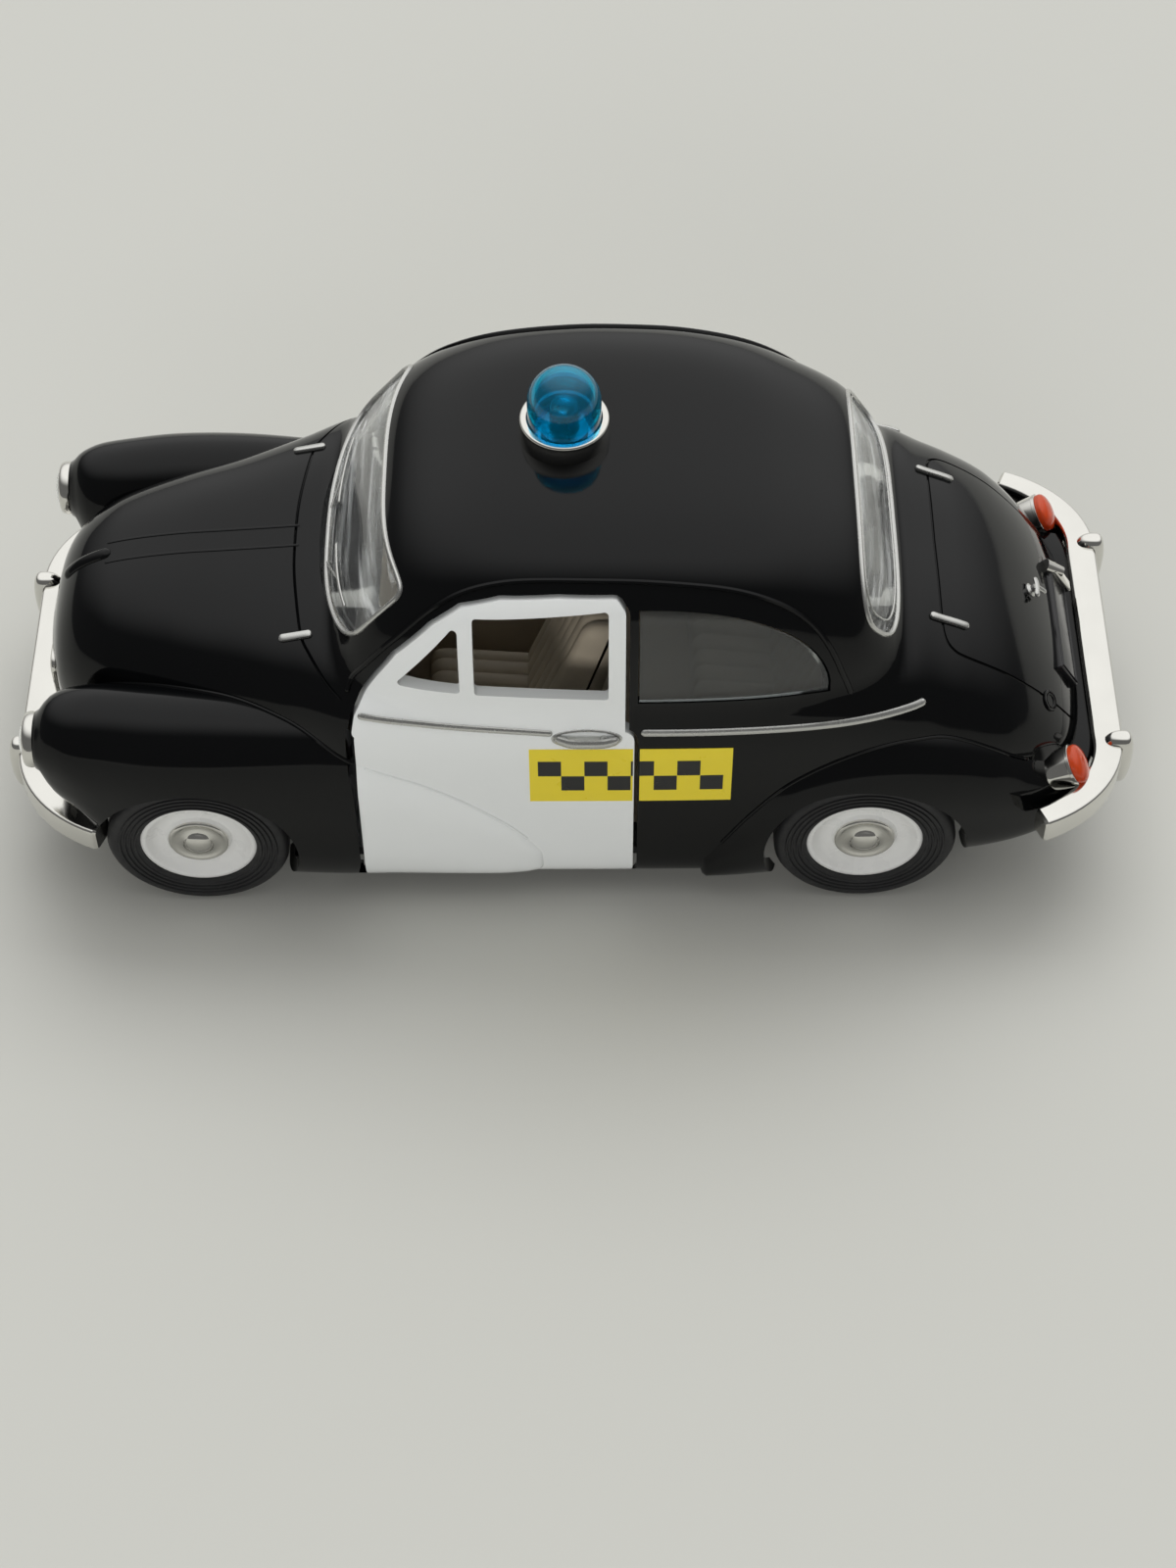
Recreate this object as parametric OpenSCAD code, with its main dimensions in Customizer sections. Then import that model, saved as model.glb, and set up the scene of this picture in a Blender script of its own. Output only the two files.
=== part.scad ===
// Toy police saloon of the 1950s, about 1:32, as separate pieces with opening doors and rolling wheels.
// Frame: +X forward, +Y to the left of the car, +Z up, origin on the ground under the middle of the box.
// All lengths are in millimetres.

/* [Overall] */
// Distance between the two axles
wheelbase = 68.25; // [67:0.25:69.5]
// From the front axle to the front of the overriders
front_overhang = 20.3; // [20.1:0.1:20.7]
// From the rear axle to the back of the overriders
rear_overhang = 28.3; // [28.1:0.1:28.7]
// Width over the wings
car_w = 48; // [47.6:0.1:48.4]
// Height of the roof above the ground
roof_z = 46.7; // [46.2:0.1:47.2]

/* [Lower body] */
// From the front axle to the flat of the nose
nose_reach = 15.3; // [15.1:0.1:15.5]
// From the rear axle to the flat of the tail
tail_reach = 23.7; // [23.5:0.1:23.8]
// Width over the doors
hull_w = 44; // [43.7:0.1:44.2]
// Height of the widest line of the side
waist_z = 18; // [17.7:0.1:18.3]
// Height of the bonnet at the windscreen
bonnet_z = 32.4; // [32.1:0.1:32.7]
// Thickness of the casting
wall = 1.2; // [1.1:0.05:1.3]

/* [Cabin] */
// Width of the cabin at its foot
cabin_w = 41.6; // [41.3:0.1:41.8]
// Height of the cabin foot inside the lower body
cabin_base_z = 26; // [25.7:0.1:26.2]
// From the front axle back to the foot of the windscreen
screen_set_back = 12.1; // [12:0.1:12.3]
// From the rear axle back to the foot of the rear window
cabin_tail = 6; // [5.8:0.1:6.2]
// Fall of the roof towards its sides
roof_crown = 0.4; // [0.3:0.05:0.5]
// Thickness of the clear panes
pane_t = 0.9; // [0.8:0.05:1]
// Depth of the panes below the outer skin
pane_sink = 0.15; // [0.1:0.05:0.2]

/* [Wings] */
// Height of the top of the wings
wing_top_z = 26.8; // [26.5:0.1:27]
// How far the tail of a front wing runs back on the door
wing_on_door = 17.9; // [17.5:0.1:18.3]
// From the front axle to the lamp seat
lamp_reach = 14.9; // [14.7:0.1:15.1]
// Length of a rear wing
rear_wing_l = 38; // [37.8:0.1:38.2]
// From the rear axle to the leading tip of a rear wing
rear_wing_lead = 16.1; // [16:0.1:16.3]

/* [Wheels] */
// Tyre diameter
tyre_d = 18.6; // [18.2:0.1:18.8]
// Tyre width
tyre_w = 4.2; // [4:0.1:4.3]
// Rim diameter at the tyre seat
rim_d = 11.9; // [11.6:0.1:12.1]
// Outer face of the tyre from the centre line
wheel_face_y = 22.2; // [22:0.1:22.3]
// Depth of the dish of the rim
rim_dish = 0.9; // [0.8:0.1:1.1]
// Axle diameter
axle_d = 2; // [1.8:0.1:2.2]
// Radial running gap of the axle bearings
bearing_gap = 0.06; // [0.04:0.01:0.08]
// Room round the axle in the wells of the body
axle_room = 0.5; // [0.4:0.05:0.6]
// Gap between tyre and wheel arch
arch_gap = 1.1; // [1:0.1:1.3]
// Hubcap diameter
hubcap_d = 6.2; // [6:0.1:6.4]
// Height of the hubcap dome
hubcap_h = 0.7; // [0.5:0.1:0.9]

/* [Doors] */
// From the front axle back to the front edge of the door
door_set_back = 17; // [16.9:0.05:17.1]
// Length of the door
door_l = 27.5; // [27.2:0.1:27.7]
// Sill line that the shares of the doors are measured from
door_bottom_z = 5.8; // [5.7:0.05:5.9]
// How far the foot of the doors reaches below the sill line
door_foot = 2; // [1.9:0.05:2.1]
// Top edge of the door
door_top_z = 43.1; // [42.9:0.1:43.2]
// Shut gap round the door
door_gap = 0.4; // [0.35:0.05:0.45]
// Step of the rear edge at the belt line
door_step = 0.9; // [0.8:0.1:1.1]
// Hinge line from the centre line of the car
hinge_y = 21.6; // [21.5:0.05:21.7]
// Hinge line behind the front edge of the door
hinge_back = 0.9; // [0.8:0.05:1]
// Hinge pin diameter
pin_d = 0.7; // [0.6:0.05:0.8]
// Outer diameter of the hinge tube and eyes
knuckle_d = 1.3; // [1.2:0.05:1.4]
// Radial running gap of the hinge pin
pin_gap = 0.04; // [0.03:0.01:0.05]
// Height of a hinge eye
eye_h = 1.4; // [1.2:0.1:1.6]
// Lower hinge eye, bottom face
low_eye_z = 10.5; // [10.3:0.1:10.7]
// Upper hinge eye, bottom face
high_eye_z = 17.5; // [17.3:0.1:17.7]
// Gap above and below a hinge eye
eye_gap = 0.2; // [0.15:0.05:0.25]

/* [Bumpers] */
// Depth of a bumper bar in the middle, front to back
bumper_t = 2.9; // [2.8:0.05:3]
// Thickness of a bumper bar at its ends
bumper_side_t = 1.6; // [1.5:0.05:1.7]
// Height of a bumper bar
bumper_h = 3.2; // [3:0.1:3.4]
// Underside of the front bumper
front_bumper_z = 9.6; // [9.4:0.1:9.8]
// Underside of the rear bumper
rear_bumper_z = 12.6; // [12.4:0.1:12.8]
// Radius of the bumper corners
bumper_r = 8.6; // [8.3:0.1:8.9]
// How far the ends of the rear bumper stand out beside the wings
bumper_out = 1; // [0.9:0.05:1.15]
// How far the overriders stand ahead of the bar
overrider_out = 1.2; // [1:0.1:1.4]
// Half width of an overrider
overrider_r = 1.3; // [1.2:0.1:1.4]
// Front overriders from the centre line
front_overrider_y = 11.4; // [11.2:0.1:11.8]
// Rear overriders from the centre line
rear_overrider_y = 13.7; // [13.5:0.1:14]
// Width of a bumper tab
tab_w = 3; // [2.6:0.1:3.2]
// Height of a bumper tab
tab_h = 1.6; // [1.4:0.1:1.8]
// Bumper tabs from the centre line
tab_y = 4; // [3.8:0.1:4.2]

/* [Lamps] */
// Headlamp rim diameter
head_d = 5.7; // [5.5:0.1:5.9]
// Headlamp rim depth
head_t = 1.5; // [1.3:0.1:1.7]
// Headlamp lens diameter
head_lens_d = 4.4; // [4.2:0.1:4.6]
// Tail lamp diameter
tail_d = 3.6; // [3.4:0.1:3.7]
// Length of the tail lamp housing
tail_l = 4; // [3.8:0.1:4.2]
// Height of the tail lamp lens
tail_lens_h = 1.2; // [1:0.1:1.4]
// Upward tilt of the tail lamps
tail_tilt = 30; // [27:1:33]
// Tail lamp lens centre behind the rear axle
tail_lamp_back = 21.1; // [21:0.1:21.2]
// Tail lamp from the centre line
tail_lamp_y = 17.4; // [17.3:0.1:17.5]
// Tail lamp height
tail_lamp_z = 16.4; // [16.3:0.1:16.5]

/* [Beacon] */
// Diameter of the plated beacon base
beacon_d = 8.84; // [8.6:0.02:9]
// Height of the plated beacon base
beacon_base_h = 2.6; // [2.4:0.1:2.8]
// Dome diameter
dome_d = 7.2; // [7:0.1:7.4]
// Height of the dome from its seat
dome_h = 7.1; // [6.9:0.1:7.3]
// Dome thickness
dome_t = 0.7; // [0.6:0.05:0.8]
// Beacon centre behind the front axle
beacon_back = 37.8; // [37.6:0.1:38]
// Flat seat of the beacon below the roof
beacon_sink = 0.45; // [0.4:0.05:0.5]

/* [Underside and inside] */
// Underside of the base plate
base_z = 4.6; // [4.5:0.05:4.7]
// Base plate thickness
base_t = 1.2; // [1.1:0.05:1.3]
// Width of the base plate between the wheels
base_w = 39.2; // [39:0.1:39.4]
// Width of the base plate beside the wheels
base_waist_w = 28; // [27.6:0.1:28.4]
// Seat tub width
tub_w = 33; // [32.6:0.1:33.2]
// Seat tub floor thickness
tub_t = 1; // [0.9:0.05:1.1]
// Width of a front seat
seat_w = 12; // [11.6:0.1:12.2]
// Front seats from the centre line
seat_y = 8.5; // [8.3:0.1:8.6]
// Top of the front seat cushion
cushion_z = 18.5; // [18.2:0.1:18.8]
// Top of the front seat back
seat_top_z = 34; // [33.6:0.1:34.4]
// Steering wheel diameter
steer_d = 9; // [8.8:0.1:9.2]
// Steering wheel rim thickness
steer_t = 0.9; // [0.8:0.05:1]
// Screw shank diameter
screw_d = 1.6; // [1.5:0.05:1.7]
// Screw head diameter
screw_head_d = 3.2; // [3:0.1:3.4]
// Screw head height, let into the plate
screw_head_h = 0.7; // [0.6:0.05:0.8]
// Screw post diameter
post_d = 4; // [3.8:0.1:4.2]

/* [Hidden] */
car_l = front_overhang + wheelbase + rear_overhang;
rear_bumper_w = car_w + 2 * bumper_out;
rear_axle_x = rear_overhang - car_l / 2;
front_axle_x = rear_axle_x + wheelbase;
front_end_x = car_l / 2;
rear_end_x = -car_l / 2;
wheel_z = tyre_d / 2;
arch_r = tyre_d / 2 + arch_gap;
hull_x0 = rear_axle_x - tail_reach;
hull_x1 = front_axle_x + nose_reach;
cabin_x0 = rear_axle_x - cabin_tail;
cabin_x1 = front_axle_x - screen_set_back;
cabin_h = roof_z - cabin_base_z;
cabin_l = cabin_x1 - cabin_x0;
front_wing_x1 = front_axle_x + lamp_reach;
front_wing_x0 = front_axle_x - door_set_back - wing_on_door;
rear_wing_x1 = rear_axle_x + rear_wing_lead;
rear_wing_x0 = rear_wing_x1 - rear_wing_l;
door_x1 = front_axle_x - door_set_back;
door_x0 = door_x1 - door_l;
door_h = door_top_z - door_bottom_z;
hinge_x = door_x1 - hinge_back;
base_top_z = base_z + base_t;
floor_z = base_top_z + tub_t;
high_eye_top_z = high_eye_z + eye_h;
beacon_x = front_axle_x - beacon_back;
beacon_z = roof_z - beacon_sink;
// One overrun for cuts that run out of the material
over = 6;
// Gap between pieces that are fixed together
fit = 0.05;
// Facets of true round pieces and of small rounded ones
round_n = 48;
small_n = 14;

// Lower body stations from tail to nose:
// place along the length, half width, top, bottom, power of the upper section
hull_shares = [
    [0, 0.43, 0.385, 0.60, 2.3],
    [0.007, 0.545, 0.457, 0.57, 2.3],
    [0.019, 0.645, 0.534, 0.53, 2.35],
    [0.039, 0.74, 0.642, 0.47, 2.4],
    [0.067, 0.823, 0.753, 0.43, 2.5],
    [0.1, 0.882, 0.852, 0.40, 2.7],
    [0.132, 0.918, 0.923, 0.46, 2.8],
    [0.16, 0.94, 0.963, 0.42, 3],
    [0.188, 0.96, 1, 0.36, 3.3],
    [0.262, 0.982, 1.02, 0.2, 4.2],
    [0.355, 0.995, 1.02, 0.155, 4.5],
    [0.448, 1, 1.02, 0.155, 4.5],
    [0.541, 1, 1.02, 0.155, 4.5],
    [0.634, 1, 1.02, 0.155, 4.5],
    [0.708, 0.982, 1.012, 0.155, 4.2],
    [0.764, 0.885, 0.992, 0.19, 3.6],
    [0.82, 0.785, 0.976, 0.30, 3.2],
    [0.875, 0.70, 0.96, 0.39, 3],
    [0.931, 0.605, 0.926, 0.46, 2.8],
    [0.959, 0.54, 0.886, 0.48, 2.6],
    [0.977, 0.47, 0.836, 0.49, 2.5],
    [0.99, 0.385, 0.765, 0.52, 2.4],
    [1, 0.25, 0.66, 0.56, 2.3]
];
// Power of the lower section, which makes the sill nearly square
sill_power = 12;
// Highest place of the widest line between the bottom and the top of a section
waist_share = 0.55;

// Cabin stations from rear to front: place, half width, height, power of the section
cabin_shares = [
    [0, 0.63, 0.07, 2.8],
    [0.026, 0.73, 0.19, 2.9],
    [0.053, 0.796, 0.348, 3],
    [0.085, 0.854, 0.527, 3.1],
    [0.121, 0.898, 0.696, 3.2],
    [0.155, 0.922, 0.773, 3.4],
    [0.211, 0.951, 0.85, 3.7],
    [0.291, 0.98, 0.928, 4.3],
    [0.388, 0.995, 0.98, 4.7],
    [0.485, 1, 1, 4.8],
    [0.581, 1, 1, 4.8],
    [0.694, 0.995, 0.978, 4.4],
    [0.783, 0.985, 0.918, 3.8],
    [0.839, 0.966, 0.84, 3.4],
    [0.874, 0.944, 0.745, 3.2],
    [0.91, 0.905, 0.60, 3.1],
    [0.945, 0.835, 0.43, 3],
    [0.974, 0.728, 0.28, 2.85],
    [1, 0.58, 0.145, 2.8]
];

// Wing stations from rear to front: place, outer side, half width, top, bottom, power of the upper section
front_wing_shares = [
    [0, 0.925, 0.125, 0.373, 0.16, 2.6],
    [0.026, 0.933, 0.146, 0.459, 0.14, 2.6],
    [0.076, 0.94, 0.167, 0.582, 0.12, 2.6],
    [0.177, 0.948, 0.192, 0.761, 0.11, 2.6],
    [0.297, 0.954, 0.213, 0.892, 0.108, 2.6],
    [0.418, 0.967, 0.229, 0.948, 0.108, 2.5],
    [0.538, 0.988, 0.246, 0.978, 0.14, 2.4],
    [0.659, 1, 0.258, 0.996, 0.2, 2.3],
    [0.779, 1, 0.263, 1, 0.26, 2.3],
    [0.88, 0.983, 0.254, 0.993, 0.325, 2.3],
    [0.94, 0.95, 0.225, 0.978, 0.49, 2.2],
    [0.972, 0.917, 0.192, 0.959, 0.54, 2.1],
    [0.99, 0.888, 0.163, 0.933, 0.6, 2],
    [1, 0.85, 0.129, 0.903, 0.672, 2]
];
rear_wing_shares = [
    [0, 0.758, 0.1, 0.657, 0.466, 2.1],
    [0.026, 0.80, 0.133, 0.709, 0.375, 2.2],
    [0.079, 0.85, 0.179, 0.791, 0.31, 2.3],
    [0.158, 0.90, 0.217, 0.869, 0.27, 2.3],
    [0.263, 0.95, 0.242, 0.937, 0.255, 2.3],
    [0.395, 0.988, 0.254, 0.966, 0.255, 2.3],
    [0.526, 1, 0.258, 0.955, 0.24, 2.3],
    [0.658, 0.996, 0.254, 0.899, 0.2, 2.3],
    [0.789, 0.983, 0.238, 0.769, 0.145, 2.4],
    [0.882, 0.963, 0.213, 0.597, 0.122, 2.5],
    [0.947, 0.946, 0.192, 0.44, 0.115, 2.6],
    [1, 0.929, 0.146, 0.299, 0.115, 2.6]
];
// Power of the lower section of the wings, which follows that of the upper one
wing_low_gain = 2;
wing_low_floor = 0.4;

// Outline of the upper door, from the front edge back and from the bottom edge up
door_frame_shares = [
    [0.02, 0.56],
    [0.03, 0.60],
    [0.115, 0.71],
    [0.185, 0.79],
    [0.315, 0.89],
    [0.41, 0.94],
    [0.54, 0.968],
    [0.735, 0.98],
    [0.93, 0.98],
    [0.945, 0.965],
    [0.945, 0.56]
];
// Corners of the main door window and of the vent window
door_window_shares = [
    [0.45, 0.705],
    [0.45, 0.93],
    [0.893, 0.963],
    [0.893, 0.69]
];
vent_window_shares = [
    [0.18, 0.72],
    [0.368, 0.893],
    [0.37, 0.71]
];

// Windscreen: middle and half length along the cabin, bow back towards the posts,
// half angle at mid height and its growth towards the foot, power of the outline
screen_patch = [0.9225, 0.0515, 0.045, 45.7, 5.8, 7];
// Rear window in the same terms
rear_patch = [0.092, 0.035, -0.004, 52, 0, 3];
// Quarter window: pillar behind the door, rear place along the cabin, foot and head heights, power of the arch
quarter_pillar = 0.3;
quarter_tail_share = 0.171;
quarter_span = [quarter_tail_share, (door_x0 - quarter_pillar - cabin_x0) / cabin_l];
quarter_foot_share = 0.24;
quarter_rise_share = 0.56;
quarter_power = 2.1;
// Size of a pane against its opening
pane_share = 0.985;

// Smooth curve through the stations
function last_before(rows, s) = min(len(rows) - 2, len([for (r = rows) if (r[0] <= s) 1]) - 1);
function slope_at(rows, i) =
    let (a = rows[max(i - 1, 0)])
    let (b = rows[min(i + 1, len(rows) - 1)])
    (b - a) / (b[0] - a[0]);
function station(rows, s) =
    let (i = last_before(rows, s))
    let (a = rows[i])
    let (b = rows[i + 1])
    let (h = b[0] - a[0])
    let (u = (s - a[0]) / h)
    a * (2 * pow(u, 3) - 3 * pow(u, 2) + 1) + slope_at(rows, i) * h * (pow(u, 3) - 2 * pow(u, 2) + u)
    + b * (3 * pow(u, 2) - 2 * pow(u, 3)) + slope_at(rows, i + 1) * h * (pow(u, 3) - pow(u, 2));
function bend(v, e) = sign(v) * pow(abs(v), e);
function eased(n) = [for (k = [0 : n]) (1 - cos(180 * k / n)) / 2];

// Points of the lower body, the cabin and a wing, each moved inward by d
function hull_point(s, a, d, drop) =
    let (r = station(hull_shares, s))
    let (w = r[1] * hull_w / 2 - d)
    let (top = r[2] * bonnet_z - d)
    let (foot = r[3] * waist_z)
    let (low = foot - drop)
    let (mid = min(waist_z, foot + waist_share * (top - foot)))
    let (x = hull_x0 + d + s * (hull_x1 - hull_x0 - 2 * d))
    sin(a) >= 0
        ? [x, w * bend(cos(a), 2 / r[4]), mid + (top - mid) * bend(sin(a), 2 / r[4])]
        : [x, w * bend(cos(a), 2 / sill_power), mid + (mid - low) * bend(sin(a), 2 / sill_power)];
function cabin_point(s, a, d) =
    let (r = station(cabin_shares, s))
    let (w = r[1] * cabin_w / 2 - d)
    let (c = bend(cos(a), 2 / r[3]))
    let (rise = r[2] * cabin_h - d)
    [cabin_x0 + d + s * (cabin_x1 - cabin_x0 - 2 * d), w * c,
        cabin_base_z + rise * bend(sin(a), 2 / r[3]) - roof_crown * r[2] * c * c];
function wing_point(rows, x0, x1, s, a, d) =
    let (r = station(rows, s))
    let (half = r[2] * car_w / 2)
    let (mid_y = r[1] * car_w / 2 - half)
    let (mid_z = (r[3] + r[4]) * wing_top_z / 2)
    let (rise = (r[3] - r[4]) * wing_top_z / 2 - d)
    let (e = sin(a) >= 0 ? 2 / r[5] : 2 / (wing_low_gain * (r[5] - 1) + wing_low_floor))
    [x0 + d + s * (x1 - x0 - 2 * d), mid_y + (half - d) * bend(cos(a), e), mid_z + rise * bend(sin(a), e)];
// Half width of the lower body at a place and a height above the waist
function side_y(x, z) =
    let (r = station(hull_shares, (x - hull_x0) / (hull_x1 - hull_x0)))
    r[1] * hull_w / 2 * pow(1 - pow((z - waist_z) / (r[2] * bonnet_z - waist_z), r[4]), 1 / r[4]);
// Angle on the cabin section at a height share
function side_angle(s, share) =
    let (r = station(cabin_shares, s))
    asin(min(1, pow(share / r[2], r[3] / 2)));

// Closed body from rings of points
module loft(rings) {
    n = len(rings[0]);
    m = len(rings);
    sides = [for (i = [0 : m - 2], j = [0 : n - 1])
        let (a = i * n + j, b = i * n + (j + 1) % n)
        each [[a, a + n, b + n], [a, b + n, b]]];
    caps = [[for (j = [0 : n - 1]) j], [for (j = [n - 1 : -1 : 0]) (m - 1) * n + j]];
    polyhedron(points = [for (r = rings) each r], faces = concat(sides, caps), convexity = 8);
}

// Closed plate between an outer and an inner grid of points
module plate(outer, inner) {
    m = len(outer);
    n = len(outer[0]);
    k = m * n;
    skins = [for (i = [0 : m - 2], j = [0 : n - 2])
        let (a = i * n + j)
        each [[a, a + n, a + n + 1], [a, a + n + 1, a + 1],
            [a + k, a + k + n + 1, a + k + n], [a + k, a + k + 1, a + k + n + 1]]];
    ends = [for (j = [0 : n - 2])
        let (a = j, c = (m - 1) * n + j)
        each [[a, a + 1, a + 1 + k], [a, a + 1 + k, a + k], [c + 1, c, c + k], [c + 1, c + k, c + 1 + k]]];
    flanks = [for (i = [0 : m - 2])
        let (a = i * n, b = i * n + n - 1)
        each [[a + n, a, a + k], [a + n, a + k, a + n + k], [b, b + n, b + n + k], [b, b + n + k, b + k]]];
    points = concat([for (r = outer) each r], [for (r = inner) each r]);
    polyhedron(points = points, faces = concat(skins, ends, flanks), convexity = 6);
}

module both_sides() {
    children();
    mirror([0, 1, 0])
        children();
}

// Upright flat shape in the side view, from one Y to another
module side_prism(y0, y1) {
    translate([0, y1, 0])
        rotate([90, 0, 0])
            linear_extrude(height = y1 - y0)
                children();
}

upper_angles = [for (a = [0 : 10 : 180]) a];
lower_angles = [190, 225, 315, 350];
hull_angles = concat(upper_angles, lower_angles);
cabin_angles = [for (a = [0 : 9 : 180]) a];
inner_angles = [for (a = [0 : 15 : 180]) a];
inner_hull_angles = concat(inner_angles, lower_angles);
wing_angles = [for (a = [0 : 22.5 : 337.5]) a];
inner_wing_angles = [for (a = [0 : 36 : 324]) a];

module outer_form() {
    loft([for (s = eased(24)) [for (a = hull_angles) hull_point(s, a, 0, 0)]]);
    loft([for (s = eased(26)) [for (a = cabin_angles) cabin_point(s, a, 0)]]);
    both_sides() {
        loft([for (s = eased(17)) [for (a = wing_angles)
            wing_point(front_wing_shares, front_wing_x0, front_wing_x1, s, a, 0)]]);
        loft([for (s = eased(15)) [for (a = wing_angles)
            wing_point(rear_wing_shares, rear_wing_x0, rear_wing_x1, s, a, 0)]]);
    }
}

module inner_form() {
    loft([for (s = eased(14)) [for (a = inner_hull_angles) hull_point(s, a, wall, over)]]);
    loft([for (s = eased(16)) [for (a = inner_angles) cabin_point(s, a, wall)]]);
    both_sides() {
        loft([for (s = eased(10)) [for (a = inner_wing_angles)
            wing_point(front_wing_shares, front_wing_x0, front_wing_x1, s, a, wall)]]);
        loft([for (s = eased(8)) [for (a = inner_wing_angles)
            wing_point(rear_wing_shares, rear_wing_x0, rear_wing_x1, s, a, wall)]]);
    }
}

module skin() {
    difference() {
        outer_form();
        inner_form();
    }
}

// Places on the cabin for a window across the car
function across_grid(p, k) =
    [for (v = [-1 : 0.5 : 1]) [for (t = [-1 : 0.125 : 1])
        let (q = sin(90 * t) * 0.995)
        let (room = pow(1 - pow(abs(q), p[5]), 1 / p[5]))
        let (half = (p[3] + p[4] * v * room) * k)
        [p[0] - p[2] * q * q + v * room * p[1] * k, 90 + q * half]]];
// Places on the cabin side for a quarter window
function quarter_grid(k) =
    let (mid = (quarter_span[0] + quarter_span[1]) / 2)
    let (reach = (quarter_span[1] - quarter_span[0]) / 2)
    [for (t = [-1 : 0.2 : 1])
        let (u = (1 - sin(90 * t)) / 2 * 0.99)
        let (s = mid + (1 - 2 * u) * reach * k)
        let (rise = quarter_rise_share * pow(1 - pow(u, quarter_power), 1 / quarter_power))
        [for (v = [0 : 0.25 : 1])
            [s, side_angle(s, quarter_foot_share + rise * ((v - 0.5) * k + 0.5))]]];

module cabin_patch(grid, d0, d1) {
    plate([for (r = grid) [for (c = r) cabin_point(c[0], c[1], d0)]],
        [for (r = grid) [for (c = r) cabin_point(c[0], c[1], d1)]]);
}

module cabin_pane(grid) {
    cabin_patch(grid, pane_sink, pane_sink + pane_t);
}

// Door outline, grown by g
window_r = 0.4;
frame_r = 0.75;
corner_r = 1.2;
function door_spot(p) = [door_x1 - p[0] * door_l, door_bottom_z + p[1] * door_h];
belt_z = door_bottom_z + 0.57 * door_h;

module door_outline(g) {
    hull() {
        for (x = [door_x0 + corner_r, door_x1 - corner_r])
            for (z = [door_bottom_z - door_foot + corner_r, belt_z - corner_r])
                translate([x, z])
                    circle(r = corner_r + g, $fn = small_n);
    }
    hull() {
        for (p = door_frame_shares)
            translate(door_spot(p) + [p[0] > 0.9 ? (corner_r - door_step) / 2 : 0, 0])
                circle(r = frame_r + g, $fn = small_n);
    }
}

module window_outline(shares) {
    hull() {
        for (p = shares)
            translate(door_spot(p))
                circle(r = window_r, $fn = small_n);
    }
}

// Radii of the rolled front edge of the door and of its hollow in the body
roll_share = 1.67;
hollow_share = 0.75;
door_depth = 5;
roll_r = hinge_back * roll_share;
hollow_r = roll_r + hollow_share * door_gap;
door_in_y = wheel_face_y - door_depth;

// Room that the closed door takes in the left side
module door_room() {
    side_prism(door_in_y, car_w)
        door_outline(door_gap);
    translate([hinge_x, hinge_y, door_bottom_z - door_foot])
        cylinder(r = hollow_r, h = belt_z - door_bottom_z + door_foot, $fn = small_n * 2);
}

// Closed bead along points on a surface
module bead(points, r) {
    for (i = [0 : len(points) - 2])
        hull() {
            for (p = [points[i], points[i + 1]])
                translate(p)
                    sphere(r = r, $fn = 8);
        }
}

// Belt strip of the door, from the front edge back
strip_r = 0.32;
strip_shares = [[0.03, 0.612], [0.35, 0.585], [0.7, 0.56]];
handle_shares = [[0.735, 0.548], [0.925, 0.548]];
handle_r = 0.5;
handle_out = 0.75;
function door_skin_spot(p, out) =
    let (q = door_spot(p))
    [q[0], side_y(q[0], q[1]) + out, q[1]];

module door_handle() {
    hull() {
        for (p = handle_shares)
            translate(door_skin_spot(p, handle_out))
                sphere(r = handle_r, $fn = 8);
    }
    for (p = handle_shares)
        hull() {
            for (out = [0, handle_out])
                translate(door_skin_spot(p, out))
                    sphere(r = handle_r, $fn = 8);
        }
}

// Left door: the skin inside the outline, with windows, hinge edge, strip and handle
module door_left() {
    notch_y = hinge_y + knuckle_d / 2 + eye_gap;
    difference() {
        union() {
            intersection() {
                skin();
                side_prism(door_in_y, car_w)
                    door_outline(0);
                union() {
                    translate([hinge_x - car_l, 0, 0])
                        cube([car_l, car_w, roof_z]);
                    translate([hinge_x - over, 0, 0])
                        cube([over * 2, hinge_y, roof_z]);
                    translate([hinge_x, hinge_y, 0])
                        cylinder(r = roll_r, h = roof_z, $fn = small_n * 2);
                }
            }
            bead([for (p = strip_shares) door_skin_spot(p, 0)], strip_r);
            door_handle();
        }
        side_prism(0, car_w)
            window_outline(door_window_shares);
        side_prism(0, car_w)
            window_outline(vent_window_shares);
        translate([hinge_x, hinge_y, low_eye_z])
            cylinder(r = knuckle_d / 2 + fit, h = high_eye_top_z - low_eye_z, $fn = small_n * 2);
        for (z = [low_eye_z, high_eye_z])
            translate([hinge_x - knuckle_d, door_in_y - over, z - eye_gap])
                cube([knuckle_d + over, notch_y - door_in_y + over, eye_h + 2 * eye_gap]);
    }
}

// Tube on the door that turns on the hinge pin
module hinge_tube_left() {
    z0 = low_eye_z + eye_h + eye_gap;
    z1 = high_eye_z - eye_gap;
    translate([hinge_x, hinge_y, z0])
        difference() {
            cylinder(d = knuckle_d, h = z1 - z0, $fn = round_n);
            translate([0, 0, -over])
                cylinder(d = pin_d + 2 * pin_gap, h = z1 - z0 + 2 * over, $fn = round_n);
        }
}

module hinge_pin_left() {
    translate([hinge_x, hinge_y, low_eye_z - eye_gap])
        cylinder(d = pin_d, h = high_eye_top_z - low_eye_z + 2 * eye_gap, $fn = round_n);
}

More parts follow.
